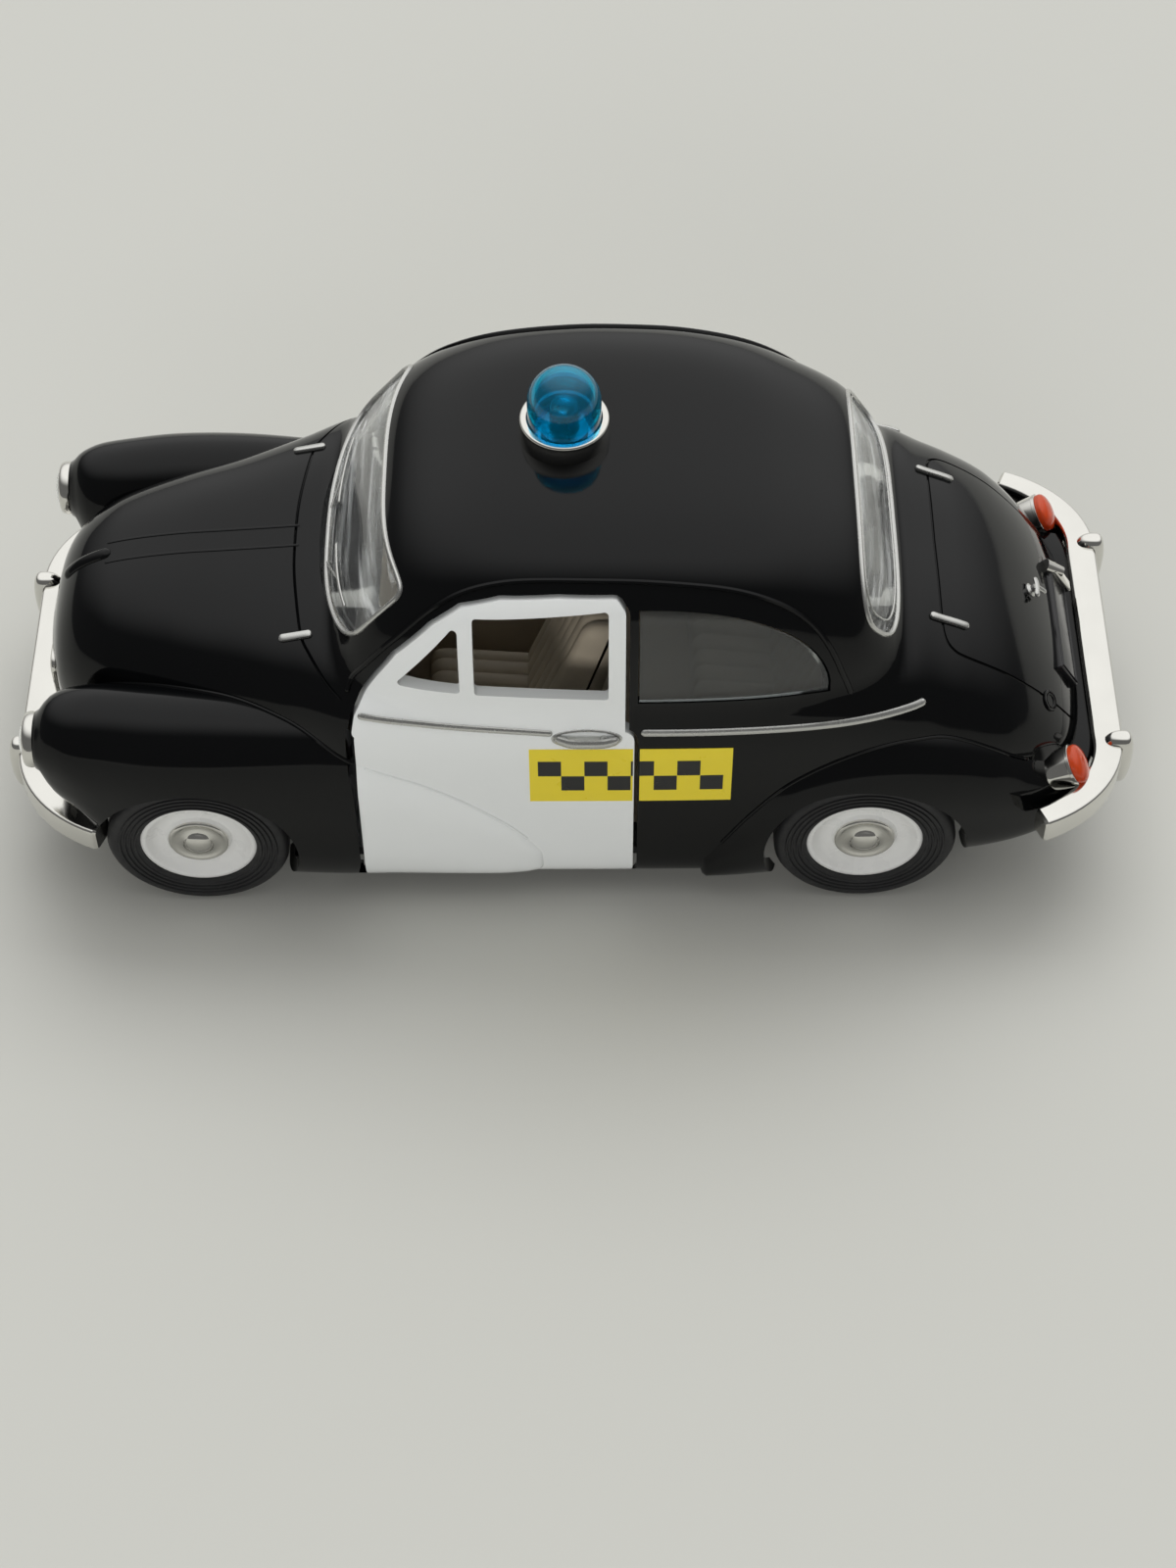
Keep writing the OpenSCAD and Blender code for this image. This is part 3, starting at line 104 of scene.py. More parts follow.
# Lower body stations: place, half width, top, bottom, power of the upper section
HULL_ROWS = np.array([
    (0, 0.43, 0.385, 0.60, 2.3), (0.007, 0.545, 0.457, 0.57, 2.3), (0.019, 0.645, 0.534, 0.53, 2.35),
    (0.039, 0.74, 0.642, 0.47, 2.4), (0.067, 0.823, 0.753, 0.43, 2.5), (0.1, 0.882, 0.852, 0.40, 2.7),
    (0.132, 0.918, 0.923, 0.46, 2.8), (0.16, 0.94, 0.963, 0.42, 3), (0.188, 0.96, 1, 0.36, 3.3),
    (0.262, 0.982, 1.02, 0.2, 4.2), (0.355, 0.995, 1.02, 0.155, 4.5), (0.448, 1, 1.02, 0.155, 4.5),
    (0.541, 1, 1.02, 0.155, 4.5), (0.634, 1, 1.02, 0.155, 4.5), (0.708, 0.982, 1.012, 0.155, 4.2),
    (0.764, 0.885, 0.992, 0.19, 3.6), (0.82, 0.785, 0.976, 0.30, 3.2), (0.875, 0.70, 0.96, 0.39, 3),
    (0.931, 0.605, 0.926, 0.46, 2.8), (0.959, 0.54, 0.886, 0.48, 2.6), (0.977, 0.47, 0.836, 0.49, 2.5),
    (0.99, 0.385, 0.765, 0.52, 2.4), (1, 0.25, 0.66, 0.56, 2.3)])
# Cabin stations: place, half width, height, power of the section
CABIN_ROWS = np.array([
    (0, 0.63, 0.07, 2.8), (0.026, 0.73, 0.19, 2.9), (0.053, 0.796, 0.348, 3), (0.085, 0.854, 0.527, 3.1),
    (0.121, 0.898, 0.696, 3.2), (0.155, 0.922, 0.773, 3.4), (0.211, 0.951, 0.85, 3.7), (0.291, 0.98, 0.928, 4.3),
    (0.388, 0.995, 0.98, 4.7), (0.485, 1, 1, 4.8), (0.581, 1, 1, 4.8), (0.694, 0.995, 0.978, 4.4),
    (0.783, 0.985, 0.918, 3.8), (0.839, 0.966, 0.84, 3.4), (0.874, 0.944, 0.745, 3.2), (0.91, 0.905, 0.60, 3.1),
    (0.945, 0.835, 0.43, 3), (0.974, 0.728, 0.28, 2.85), (1, 0.58, 0.145, 2.8)])
# Wing stations: place, outer side, half width, top, bottom, power of the upper section
FRONT_WING_ROWS = np.array([
    (0, 0.925, 0.125, 0.373, 0.16, 2.6), (0.026, 0.933, 0.146, 0.459, 0.14, 2.6),
    (0.076, 0.94, 0.167, 0.582, 0.12, 2.6), (0.177, 0.948, 0.192, 0.761, 0.11, 2.6),
    (0.297, 0.954, 0.213, 0.892, 0.108, 2.6), (0.418, 0.967, 0.229, 0.948, 0.108, 2.5),
    (0.538, 0.988, 0.246, 0.978, 0.14, 2.4), (0.659, 1, 0.258, 0.996, 0.2, 2.3),
    (0.779, 0.99, 0.26, 1, 0.26, 2.3), (0.88, 0.955, 0.244, 0.993, 0.325, 2.3),
    (0.94, 0.918, 0.21, 0.978, 0.49, 2.2), (0.972, 0.888, 0.18, 0.959, 0.54, 2.1),
    (0.99, 0.866, 0.15, 0.933, 0.6, 2), (1, 0.85, 0.129, 0.903, 0.672, 2)])
REAR_WING_ROWS = np.array([
    (0, 0.758, 0.1, 0.53, 0.40, 2.1), (0.026, 0.80, 0.133, 0.555, 0.36, 2.2),
    (0.079, 0.85, 0.179, 0.605, 0.31, 2.3), (0.158, 0.90, 0.217, 0.70, 0.27, 2.3),
    (0.263, 0.95, 0.242, 0.82, 0.255, 2.3), (0.395, 0.988, 0.254, 0.915, 0.255, 2.3),
    (0.526, 1, 0.258, 0.943, 0.24, 2.3), (0.658, 0.996, 0.254, 0.899, 0.2, 2.3),
    (0.789, 0.983, 0.238, 0.769, 0.145, 2.4), (0.882, 0.963, 0.213, 0.597, 0.122, 2.5),
    (0.947, 0.946, 0.192, 0.44, 0.115, 2.6), (1, 0.929, 0.146, 0.299, 0.115, 2.6)])
# Door outline and windows: shares back from the front edge and up from the bottom edge
DOOR_FRAME = ((0.02, 0.56), (0.03, 0.60), (0.115, 0.71), (0.185, 0.79), (0.315, 0.89), (0.41, 0.94),
              (0.54, 0.968), (0.735, 0.98), (0.93, 0.98), (0.945, 0.965), (0.945, 0.56))
DOOR_WINDOW = ((0.45, 0.705), (0.45, 0.93), (0.893, 0.963), (0.893, 0.69))
VENT_WINDOW = ((0.18, 0.72), (0.368, 0.893), (0.37, 0.71))
# Windows across the cabin: middle, half length, bow, half angle, its growth, power of the outline
SCREEN = (0.9225, 0.0515, 0.045, 45.7, 5.8, 7)
REAR_LIGHT = (0.092, 0.035, -0.004, 52, 0, 3)
QUARTER = (0.171, (DOOR_X0 - 0.3 - CABIN_X0) / (CABIN_X1 - CABIN_X0), 0.24, 0.56, 2.1)


def length(name, description, default, least, most):
    return FloatProperty(name=name, description=description + ", mm", default=default, min=least, max=most)


def tone(name, description, *default):
    return FloatVectorProperty(name=name, description=description, subtype="COLOR", size=3, default=default,
                               min=0, max=1)


class CarSizes(bpy.types.PropertyGroup):
    """Sizes of the fine shapes that the looks add."""
    fillet: length("Cabin fillet", "Softness of the fold between cabin and lower body", 0.9, 0.2, 3)
    seam: length("Shut line", "Half width of the shut lines", 0.15, 0.05, 0.4)
    frame_bead: length("Window frame", "Half width of the bright window frames", 0.27, 0.2, 0.8)
    strip: length("Side strip", "Half width of the silver side strips", 0.36, 0.2, 0.7)
    decal: length("Panel film", "Thickness of the yellow side panel", 0.05, 0.02, 0.1)
    pleats: IntProperty(name="Seat pleats", description="Pleats across one seat", default=7, min=3, max=12)
    pleat_depth: length("Pleat depth", "Depth of the seat pleats", 0.3, 0.05, 0.6)
    turns: IntProperty(name="Round segments", description="Segments of the turned pieces",
                       default=72, min=32, max=128)


class CarColours(bpy.types.PropertyGroup):
    """Colours of the finishes."""
    body: tone("Body", "Gloss paint of the body", 0.0022, 0.0024, 0.0027)
    door: tone("Doors", "Gloss paint of the doors", 0.91, 0.93, 0.92)
    panel: tone("Side panel", "Film of the side panel", 0.92, 0.74, 0.035)
    plating: tone("Plating", "Bright plating", 0.74, 0.73, 0.69)
    seats: tone("Seats", "Moulded seats", 0.50, 0.43, 0.33)
    dome: tone("Beacon dome", "Clear blue dome", 0.0, 0.43, 0.66)
    lens: tone("Tail lens", "Clear red lens", 0.85, 0.10, 0.02)
    floor: tone("Floor", "Pale table", 0.58, 0.58, 0.54)


def sizes():
    return bpy.context.scene.toy_car_sizes


def colours():
    return bpy.context.scene.toy_car_colours


# Smooth curves through the stations
def slope(rows, i):
    a, b = rows[max(i - 1, 0)], rows[min(i + 1, len(rows) - 1)]
    return (b - a) / (b[0] - a[0])


def station(rows, s):
    i = int(min(len(rows) - 2, max(0, np.searchsorted(rows[:, 0], s, side="right") - 1)))
    a, b = rows[i], rows[i + 1]
    h = b[0] - a[0]
    u = (s - a[0]) / h
    return (a * (2 * u**3 - 3 * u**2 + 1) + slope(rows, i) * h * (u**3 - 2 * u**2 + u)
            + b * (3 * u**2 - 2 * u**3) + slope(rows, i + 1) * h * (u**3 - u**2))


# Sections of the car: middle y and z, half width, rise, fall, upper and lower power, crown
def hull_section(x, d=0.0, drop=0.0):
    s = (x - TAIL_X - d) / (NOSE_X - TAIL_X - 2 * d)
    r = station(HULL_ROWS, min(1, max(0, s)))
    top, foot = r[2] * BONNET_Z - d, r[3] * WAIST_Z
    mid = min(WAIST_Z, foot + 0.55 * (top - foot))
    return (0, mid, r[1] * HULL_HALF - d, top - mid, mid - foot + drop, r[4], 12, 0)


def cabin_section(x, d=0.0):
    s = (x - CABIN_X0 - d) / (CABIN_X1 - CABIN_X0 - 2 * d)
    if not 0 <= s <= 1:
        return None
    r = station(CABIN_ROWS, s)
    return (0, CABIN_Z, r[1] * CABIN_HALF - d, r[2] * (ROOF_Z - CABIN_Z) - d, 22, r[3], 12, ROOF_CROWN * r[2])


def wing_section(rows, span, x, d=0.0, cap=1.0):
    """Section of a wing; past its ends it shrinks to a rounded cap."""
    s = (x - span[0] - d) / (span[1] - span[0] - 2 * d)
    past = max(span[0] + d - x, x - span[1] + d, 0) / cap
    if past >= 1:
        return None
    r = station(rows, min(1, max(0, s)))
    k = (1 - past**2) ** 0.5
    half, rise = r[2] * CAR_HALF, (r[3] - r[4]) * WING_Z / 2
    return (r[1] * CAR_HALF - half, (r[3] + r[4]) * WING_Z / 2, (half - d) * k, (rise - d) * k, (rise - d) * k,
            r[5], 2 * (r[5] - 1) + 0.4, 0)


def wing_at(x):
    return wing_section(FRONT_WING_ROWS, FRONT_WING, x) or wing_section(REAR_WING_ROWS, REAR_WING, x)


def level(section, y, z):
    """Below one inside the section."""
    cy, cz, half, rise, fall, up, down, crown = section
    dz = z - cz + crown * ((y - cy) / half) ** 2
    power = np.where(dz >= 0, up, down)
    return np.abs((y - cy) / half) ** power + np.abs(dz / np.where(dz >= 0, rise, fall)) ** power


def reach(section, z0, cos, sin):
    """Distance to the edge of a section along rays from a point inside it."""
    near, far = np.zeros_like(cos), np.full_like(cos, 60)
    for _ in range(26):
        mid = (near + far) / 2
        inside = level(section, mid * cos, z0 + mid * sin) < 1
        near, far = np.where(inside, mid, near), np.where(inside, far, mid)
    return near


def soft_max(a, b, k):
    h = np.clip(k - np.abs(a - b), 0, None) / k
    return np.maximum(a, b) + h * h * k / 4


def half_section(x, turn, d=0.0, drop=0.0):
    """Left half of lower body and cabin at x, as y and z for each angle about the middle line."""
    cos, sin = np.cos(turn), np.sin(turn)
    hull, cabin = hull_section(x, d, drop), cabin_section(x, d)
    z0 = hull[1] - 0.65 * (hull[4] - drop)
    r = reach(hull, z0, cos, sin)
    if cabin:
        r = soft_max(r, reach(cabin, z0, cos, sin), sizes().fillet)
    return cos * r, z0 + sin * r


FLANKS = {}


def flank(x):
    x = round(x, 2)
    if x not in FLANKS:
        FLANKS[x] = np.array(half_section(x, np.radians(np.linspace(-20, 90, 330)))).T
    return FLANKS[x]


def crossing(x, axis, at, nudge):
    """Farthest point of the flank at x that lies at a given y (axis 0) or z (axis 1)."""
    ring = flank(x)
    a, b = ring[:-1], ring[1:]
    cross = (a[:, axis] - at) * (b[:, axis] - at) <= 0
    a, b = a[cross], b[cross]
    t = (at - a[:, axis]) / (b[:, axis] - a[:, axis] + nudge)
    return float((a[:, 1 - axis] + t * (b[:, 1 - axis] - a[:, 1 - axis])).max(initial=0))


def side_y(x, z):
    """Outermost half width of the skin at a place and a height."""
    y = crossing(x, 1, z, 1e-9)
    wing = wing_at(x)
    if wing and abs(z - wing[1]) < wing[3]:
        power = wing[5] if z > wing[1] else wing[6]
        y = max(y, wing[0] + wing[2] * (1 - (abs(z - wing[1]) / wing[3]) ** power) ** (1 / power))
    return y


def top_z(x, y):
    """Highest point of the skin at a place and a distance from the middle."""
    y = max(abs(y), 1e-4)
    z = crossing(x, 0, y, -1e-9)
    wing = wing_at(x)
    if wing and abs(y - wing[0]) < wing[2]:
        z = max(z, wing[1] + wing[3] * (1 - (abs(y - wing[0]) / wing[2]) ** wing[5]) ** (1 / wing[5]))
    return z


def steepness(height, a, b, e=0.15):
    """How much a height falls along each of its two places."""
    return (-(height(a + e, b) - height(a - e, b)) / (2 * e), -(height(a, b + e) - height(a, b - e)) / (2 * e))


def side_spot(x, z, side=LEFT):
    """Point on the side of the skin and the way it faces."""
    ahead, up = steepness(side_y, x, z)
    return Vector((x, side * side_y(x, z), z)), Vector((ahead, side, up)).normalized()


def top_spot(x, y):
    """Point on the upper skin and the way it faces."""
    return Vector((x, y, top_z(x, y))), Vector((*steepness(top_z, x, y), 1)).normalized()


def cabin_point(s, a, d=0.0):
    """Point of the cabin skin by place along it and angle over it in degrees."""
    r = station(CABIN_ROWS, s)
    turn = math.radians(a)
    c = math.copysign(abs(math.cos(turn)) ** (2 / r[3]), math.cos(turn))
    rise = (r[2] * (ROOF_Z - CABIN_Z) - d) * abs(math.sin(turn)) ** (2 / r[3])
    z = CABIN_Z + rise - ROOF_CROWN * r[2] * c * c
    return Vector((CABIN_X0 + d + s * (CABIN_X1 - CABIN_X0 - 2 * d), (r[1] * CABIN_HALF - d) * c, z))


def cabin_spot(s, a):
    along = cabin_point(s + 0.003, a) - cabin_point(s - 0.003, a)
    over = cabin_point(s, a + 0.5) - cabin_point(s, a - 0.5)
    return cabin_point(s, a), along.cross(over).normalized()


def across(window, q, v, k=1.0):
    """Place and angle on the cabin of a spot in a window across it."""
    room = max(0, 1 - abs(q) ** window[5]) ** (1 / window[5])
    return (window[0] - window[2] * q * q + v * room * window[1] * k,
            90 + q * (window[3] + window[4] * v * room) * k)


def quarter_spot(u, v, k=1.0):
    """Place and angle of a spot in the left quarter window, u back from its front edge."""
    mid, half = (QUARTER[0] + QUARTER[1]) / 2, (QUARTER[1] - QUARTER[0]) / 2
    s = mid + (1 - 2 * u) * half * k
    rise = QUARTER[3] * max(0, 1 - u ** QUARTER[4]) ** (1 / QUARTER[4])
    share = QUARTER[2] + rise * ((v - 0.5) * k + 0.5)
    r = station(CABIN_ROWS, s)
    return s, math.degrees(math.asin(min(1, (share / r[2]) ** (r[3] / 2))))


# Mesh tools
def woven(points, around=False, capped=False):
    """Sheet through rows of points; around closes each row, capped closes both ends."""
    rows, cols = len(points), len(points[0])
    wide = cols if around else cols - 1
    bm = bmesh.new()
    bmesh.ops.create_grid(bm, x_segments=rows - 1, y_segments=wide, size=1)
    for v in bm.verts:
        i, j = round((v.co.x + 1) / 2 * (rows - 1)), round((v.co.y + 1) / 2 * wide)
        v.co = points[i][j % cols]
    bmesh.ops.remove_doubles(bm, verts=bm.verts, dist=1e-4)
    if capped:
        bmesh.ops.holes_fill(bm, edges=[e for e in bm.edges if e.is_boundary], sides=0)
    bmesh.ops.recalc_face_normals(bm, faces=bm.faces)
    return bm


def bead(path, ups, wide, high, sides=10, closed=False, flat=1.0):
    """Bar of oval section along a path; ups point away from the surface that carries it."""
    path, n = [Vector(p) for p in path], len(path)
    frames = []
    for i, p in enumerate(path):
        a = path[i - 1] if i or closed else p
        b = path[(i + 1) % n] if i < n - 1 or closed else p
        along = (b - a).normalized()
        up = Vector(ups[i])
        up = (up - along * up.dot(along)).normalized()
        frames.append((p, along, along.cross(up), up))

    def ring(p, aside, up, k):
        turn = [2 * math.pi * j / sides for j in range(sides)]
        return [p + aside * (wide * k * math.copysign(abs(math.cos(t)) ** flat, math.cos(t)))
                + up * (high * k * math.copysign(abs(math.sin(t)) ** flat, math.sin(t))) for t in turn]
    rings = [ring(p, aside, up, 1) for p, along, aside, up in frames]
    if closed:
        return woven(rings + rings[:1], around=True)
    ends = [math.radians(t) for t in (30, 60, 86)]
    p, along, aside, up = frames[0]
    head = [ring(p - along * (wide * math.sin(t)), aside, up, math.cos(t)) for t in reversed(ends)]
    p, along, aside, up = frames[-1]
    tail = [ring(p + along * (wide * math.sin(t)), aside, up, math.cos(t)) for t in ends]
    return woven(head + rings + tail, around=True, capped=True)


def ridge(spots, wide, high, lift=0.0, **more):
    """Bar along spots of the skin, each a point and the way it faces."""
    return bead([p + n * lift for p, n in spots], [n for p, n in spots], wide, high, **more)


def turned(profile, centre, axis, steps=None):
    """Piece turned about an axis from a profile of radius and height."""
    steps = steps or sizes().turns
    centre, axis = Vector(centre), Vector(axis).normalized()
    out = axis.orthogonal().normalized()
    bm = bmesh.new()
    verts = [bm.verts.new(centre + axis * h + out * r) for r, h in profile]
    edges = [bm.edges.new(pair) for pair in zip(verts, verts[1:])]
    bmesh.ops.spin(bm, geom=verts + edges, cent=centre, axis=axis, angle=2 * math.pi, steps=steps,
                   use_merge=True)
    bmesh.ops.remove_doubles(bm, verts=bm.verts, dist=1e-4)
    bmesh.ops.recalc_face_normals(bm, faces=bm.faces)
    return bm


def arc(cx, cy, rx, ry, start, end, steps):
    """Points of an elliptic arc, in degrees."""
    turns = [math.radians(start + (end - start) * k / steps) for k in range(steps + 1)]
    return [(cx + rx * math.cos(t), cy + ry * math.sin(t)) for t in turns]


def rounded(corners, r, steps=5):
    """Closed outline with its corners eased over the length r."""
    loop, n = [], len(corners)
    for i in range(n):
        p, a, b = Vector(corners[i]), Vector(corners[i - 1]), Vector(corners[(i + 1) % n])
        start = p + (a - p).normalized() * min(r, (a - p).length * 0.48)
        end = p + (b - p).normalized() * min(r, (b - p).length * 0.48)
        for k in range(steps + 1):
            t = k / steps
            loop.append(start * (1 - t) ** 2 + p * (2 * t * (1 - t)) + end * t * t)
    return loop


def block(low, high, bevel=0.0):
    """Box between two corners, with eased edges."""
    bm = bmesh.new()
    low, high = Vector(low), Vector(high)
    bmesh.ops.create_cube(bm, size=1)
    bmesh.ops.scale(bm, vec=high - low, verts=bm.verts)
    bmesh.ops.translate(bm, vec=(low + high) / 2, verts=bm.verts)
    if bevel:
        bmesh.ops.bevel(bm, geom=bm.edges, offset=bevel, segments=3, profile=0.5, affect="EDGES",
                        material=-1)
    return bm


def rod(start, end, r, segments=48, r2=None):
    """Cylinder or cone between two points."""
    start, end = Vector(start), Vector(end)
    bm = bmesh.new()
    turn = (end - start).to_track_quat("Z", "Y").to_matrix().to_4x4()
    bmesh.ops.create_cone(bm, cap_ends=True, segments=segments, radius1=r, radius2=r if r2 is None else r2,
                          depth=(end - start).length, matrix=Matrix.Translation((start + end) / 2) @ turn)
    return bm


def prism(spots, r, y0, y1):
    """Rounded outline in the side view, carried across the car."""
    bm = bmesh.new()
    for x, z in spots:
        for y in (y0, y1):
            place = Matrix.Translation((x, y, z)) @ Matrix.Rotation(math.pi / 2, 4, "X")
            bmesh.ops.create_circle(bm, segments=24, radius=r, matrix=place)
    made = bmesh.ops.convex_hull(bm, input=bm.verts)
    spare = {g for g in made["geom_interior"] + made["geom_unused"]
             if isinstance(g, bmesh.types.BMVert) and g.is_valid}
    bmesh.ops.delete(bm, geom=list(spare), context="VERTS")
    bmesh.ops.delete(bm, geom=[e for e in bm.edges if not e.link_faces], context="EDGES")
    bmesh.ops.dissolve_limit(bm, angle_limit=0.001, verts=bm.verts, edges=bm.edges)
    bmesh.ops.recalc_face_normals(bm, faces=bm.faces)
    return bm


def joined(*parts):
    """One mesh of several, each used up."""
    whole = parts[0]
    for bm in parts[1:]:
        spare = bpy.data.meshes.new("spare")
        bm.to_mesh(spare)
        bm.free()
        whole.from_mesh(spare)
        bpy.data.meshes.remove(spare)
    return whole


def mirrored(bm):
    """Copy of a mesh on the other side of the car."""
    other = bm.copy()
    bmesh.ops.scale(other, vec=(1, -1, 1), verts=other.verts)
    bmesh.ops.reverse_faces(other, faces=other.faces)
    return other


def both(bm):
    return joined(bm, mirrored(bm))


def held(bm, name="held"):
    mesh = bpy.data.meshes.new(name)
    bm.to_mesh(mesh)
    bm.free()
    obj = bpy.data.objects.new(name, mesh)
    bpy.context.scene.collection.objects.link(obj)
    return obj


def carve(obj, tool_mesh, how="DIFFERENCE"):
    """Cuts, keeps or adds the tool's volume and applies the result."""
    tool = held(tool_mesh, "tool")
    cut = obj.modifiers.new("cut", "BOOLEAN")
    cut.operation, cut.solver, cut.object = how, "EXACT", tool
    graph = bpy.context.evaluated_depsgraph_get()
    mesh = bpy.data.meshes.new_from_object(obj.evaluated_get(graph))
    obj.modifiers.clear()
    old, spare = obj.data, tool.data
    obj.data = mesh
    bpy.data.objects.remove(tool)
    bpy.data.meshes.remove(old)
    bpy.data.meshes.remove(spare)
    if len(mesh.polygons) < 8:
        raise RuntimeError("A cut left nothing of " + obj.name)


def taken(obj):
    """The mesh of a held object, which goes."""
    bm = bmesh.new()
    bm.from_mesh(obj.data)
    mesh = obj.data
    bpy.data.objects.remove(obj)
    bpy.data.meshes.remove(mesh)
    return bm


def follow(mesh, skins):
    """Gives the faces that lie on the uncut skins the normals of those skins."""
    trees = []
    for skin in skins:
        skin.faces.ensure_lookup_table()
        trees.append((BVHTree.FromBMesh(skin), skin.faces))
    spots = []
    for v in mesh.vertices:
        spots.append([])
        for tree, faces in trees:
            near, _, i, _ = tree.find_nearest(v.co, 0.02)
            if near:
                corners = faces[i].verts
                share = poly_3d_calc([c.co for c in corners], near)
                facing = sum((c.normal * k for c, k in zip(corners, share)), Vector())
                spots[-1].append(facing.normalized())
    normals = [Vector(c.vector) for c in mesh.corner_normals]
    for face in mesh.polygons:
        for corner in face.loop_indices:
            found = max(spots[mesh.loops[corner].vertex_index], key=face.normal.dot, default=None)
            if found and found.dot(face.normal) > 0.93:
                normals[corner] = found
    mesh.normals_split_custom_set(normals)


def piece(name, bm, finish, body="body", nodes=(), sharp=34, skins=()):
    """Finished object from a mesh in millimetres, riding on its body."""
    mesh = bpy.data.meshes.new(name)
    bm.to_mesh(mesh)
    bm.free()
    mesh.shade_smooth()
    mesh.set_sharp_from_angle(angle=math.radians(sharp))
    if skins:
        follow(mesh, skins)
    mesh.transform(Matrix.Scale(MM, 4))
    mesh.materials.append(finish)
    obj = bpy.data.objects.new(name, mesh)
    bpy.context.scene.collection.objects.link(obj)
    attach(obj, body)
    if nodes:
        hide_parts(*nodes)
    return obj


def dressed(node, finish):
    """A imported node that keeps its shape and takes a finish."""
    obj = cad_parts[node]
    if not obj.material_slots:
        obj.data.materials.append(finish)
    for spot in obj.material_slots:
        spot.material = finish


# Finishes
FINISHES = {}


def fill(tree, socket, value):
    """Sets a socket, or joins it to an output."""
    if isinstance(value, bpy.types.NodeSocket):
        tree.links.new(value, socket)
    else:
        socket.default_value = value


def add_node(tree, kind, settings=(), **values):
    """New shader node with its settings and its inputs."""
    node = tree.nodes.new("ShaderNode" + kind)
    for name, value in dict(settings).items():
        setattr(node, name, value)
    for name, value in values.items():
        fill(tree, node.inputs[name.replace("_", " ")], value)
    return node


def finish(name, colour, rough, metal=0.0, grain=900.0, grip=0.05, bump=0.0, shade=0.06, bump_grain=None, **extra):
    """Shader with fine variation of colour, gloss and surface."""
    if name in FINISHES:
        return FINISHES[name]
    mat = bpy.data.materials.new(name)
    mat.use_nodes = True
    tree = mat.node_tree
    shader = tree.nodes["Principled BSDF"].inputs
    for socket, value in dict(extra, Metallic=metal).items():
        shader[socket.replace("_", " ")].default_value = value
    place = add_node(tree, "TexCoord").outputs["Object"]
    cloud = add_node(tree, "TexNoise", Scale=grain, Detail=4, Vector=place).outputs["Fac"]
    tint = add_node(tree, "Mix", {"data_type": "RGBA"}, Factor=cloud, A=(*[c * (1 - shade) for c in colour], 1),
                    B=(*[min(1, c * (1 + shade)) for c in colour], 1))
    fill(tree, shader["Base Color"], tint.outputs["Result"])
    gloss = add_node(tree, "MapRange", From_Min=0.3, From_Max=0.7, To_Min=max(0, rough - grip),
                     To_Max=rough + grip, Value=cloud)
    fill(tree, shader["Roughness"], gloss.outputs["Result"])
    if bump:
        fine = add_node(tree, "TexNoise", Scale=bump_grain or grain * 3, Detail=2, Vector=place)
        relief = add_node(tree, "Bump", Strength=bump, Distance=0.00003, Height=fine.outputs["Fac"])
        fill(tree, shader["Normal"], relief.outputs["Normal"])
    FINISHES[name] = mat
    return mat


def body_paint():
    return finish("gloss_black_paint", colours().body, 0.07, grain=140, grip=0.025, bump=0.03, bump_grain=900,
                  Specular_IOR_Level=0.24)


def door_paint():
    return finish("gloss_white_paint", colours().door, 0.16, grain=160, grip=0.04, bump=0.04, bump_grain=800,
                  shade=0.02, Coat_Weight=0.3, Coat_Roughness=0.06)


def plating():
    return finish("bright_plating", colours().plating, 0.1, metal=1.0, grain=260, grip=0.05, bump=0.03,
                  bump_grain=500)


def silver_print():
    return finish("silver_print", (0.60, 0.60, 0.58), 0.26, metal=0.9, grain=600, grip=0.06, bump=0.03,
                  bump_grain=900)


def steel():
    return finish("turned_steel", (0.52, 0.52, 0.53), 0.32, metal=1.0, grain=1500, grip=0.1, bump=0.1)


def clear_plastic():
    """Clear moulding with milky streaks across the car, a painted reflection that stands in for streaks of light on the
    glass.
    """
    if "clear_plastic" in FINISHES:
        return FINISHES["clear_plastic"]
    mat = finish("clear_plastic", (0.93, 0.95, 0.95), 0.035, grain=300, grip=0.02, shade=0.02, IOR=1.46)
    tree = mat.node_tree
    place = add_node(tree, "TexCoord").outputs["Object"]
    stretch = add_node(tree, "Mapping", Scale=(620, 45, 620), Vector=place)
    reflection_streak_noise = add_node(tree, "TexNoise", Scale=1, Detail=3, Vector=stretch.outputs["Vector"])
    # Painted reflection: along the stretched streaks the pane turns milky and less clear
    painted_reflection_streaks = add_node(tree, "MapRange", {"interpolation_type": "SMOOTHSTEP"}, From_Min=0.5, From_Max=0.68,
                    To_Min=0.96, To_Max=0.5, Value=reflection_streak_noise.outputs["Fac"])
    fill(tree, tree.nodes["Principled BSDF"].inputs["Transmission Weight"], painted_reflection_streaks.outputs["Result"])
    return mat


def dark_clear_plastic():
    return finish("dark_clear_plastic", (0.42, 0.44, 0.44), 0.05, grain=300, grip=0.02, shade=0.03,
                  Transmission_Weight=0.95, IOR=1.46)


def rubber():
    return finish("tyre_rubber", (0.017, 0.017, 0.018), 0.55, grain=700, grip=0.1, bump=0.35,
                  bump_grain=2600, shade=0.2)


def base_black():
    return finish("satin_black_casting", (0.02, 0.02, 0.022), 0.42, grain=500, grip=0.1, bump=0.3,
                  bump_grain=1800, shade=0.15)


def white_plastic():
    return finish("white_wheel_plastic", (0.84, 0.84, 0.82), 0.3, grain=400, grip=0.08, bump=0.12,
                  bump_grain=1500, shade=0.04)


def seat_plastic():
    return finish("moulded_beige", colours().seats, 0.5, grain=600, grip=0.08, bump=0.3, bump_grain=2200,
                  shade=0.08)


def dark_plastic():
    return finish("dark_moulding", (0.05, 0.045, 0.04), 0.4, grain=800, grip=0.08, bump=0.2)


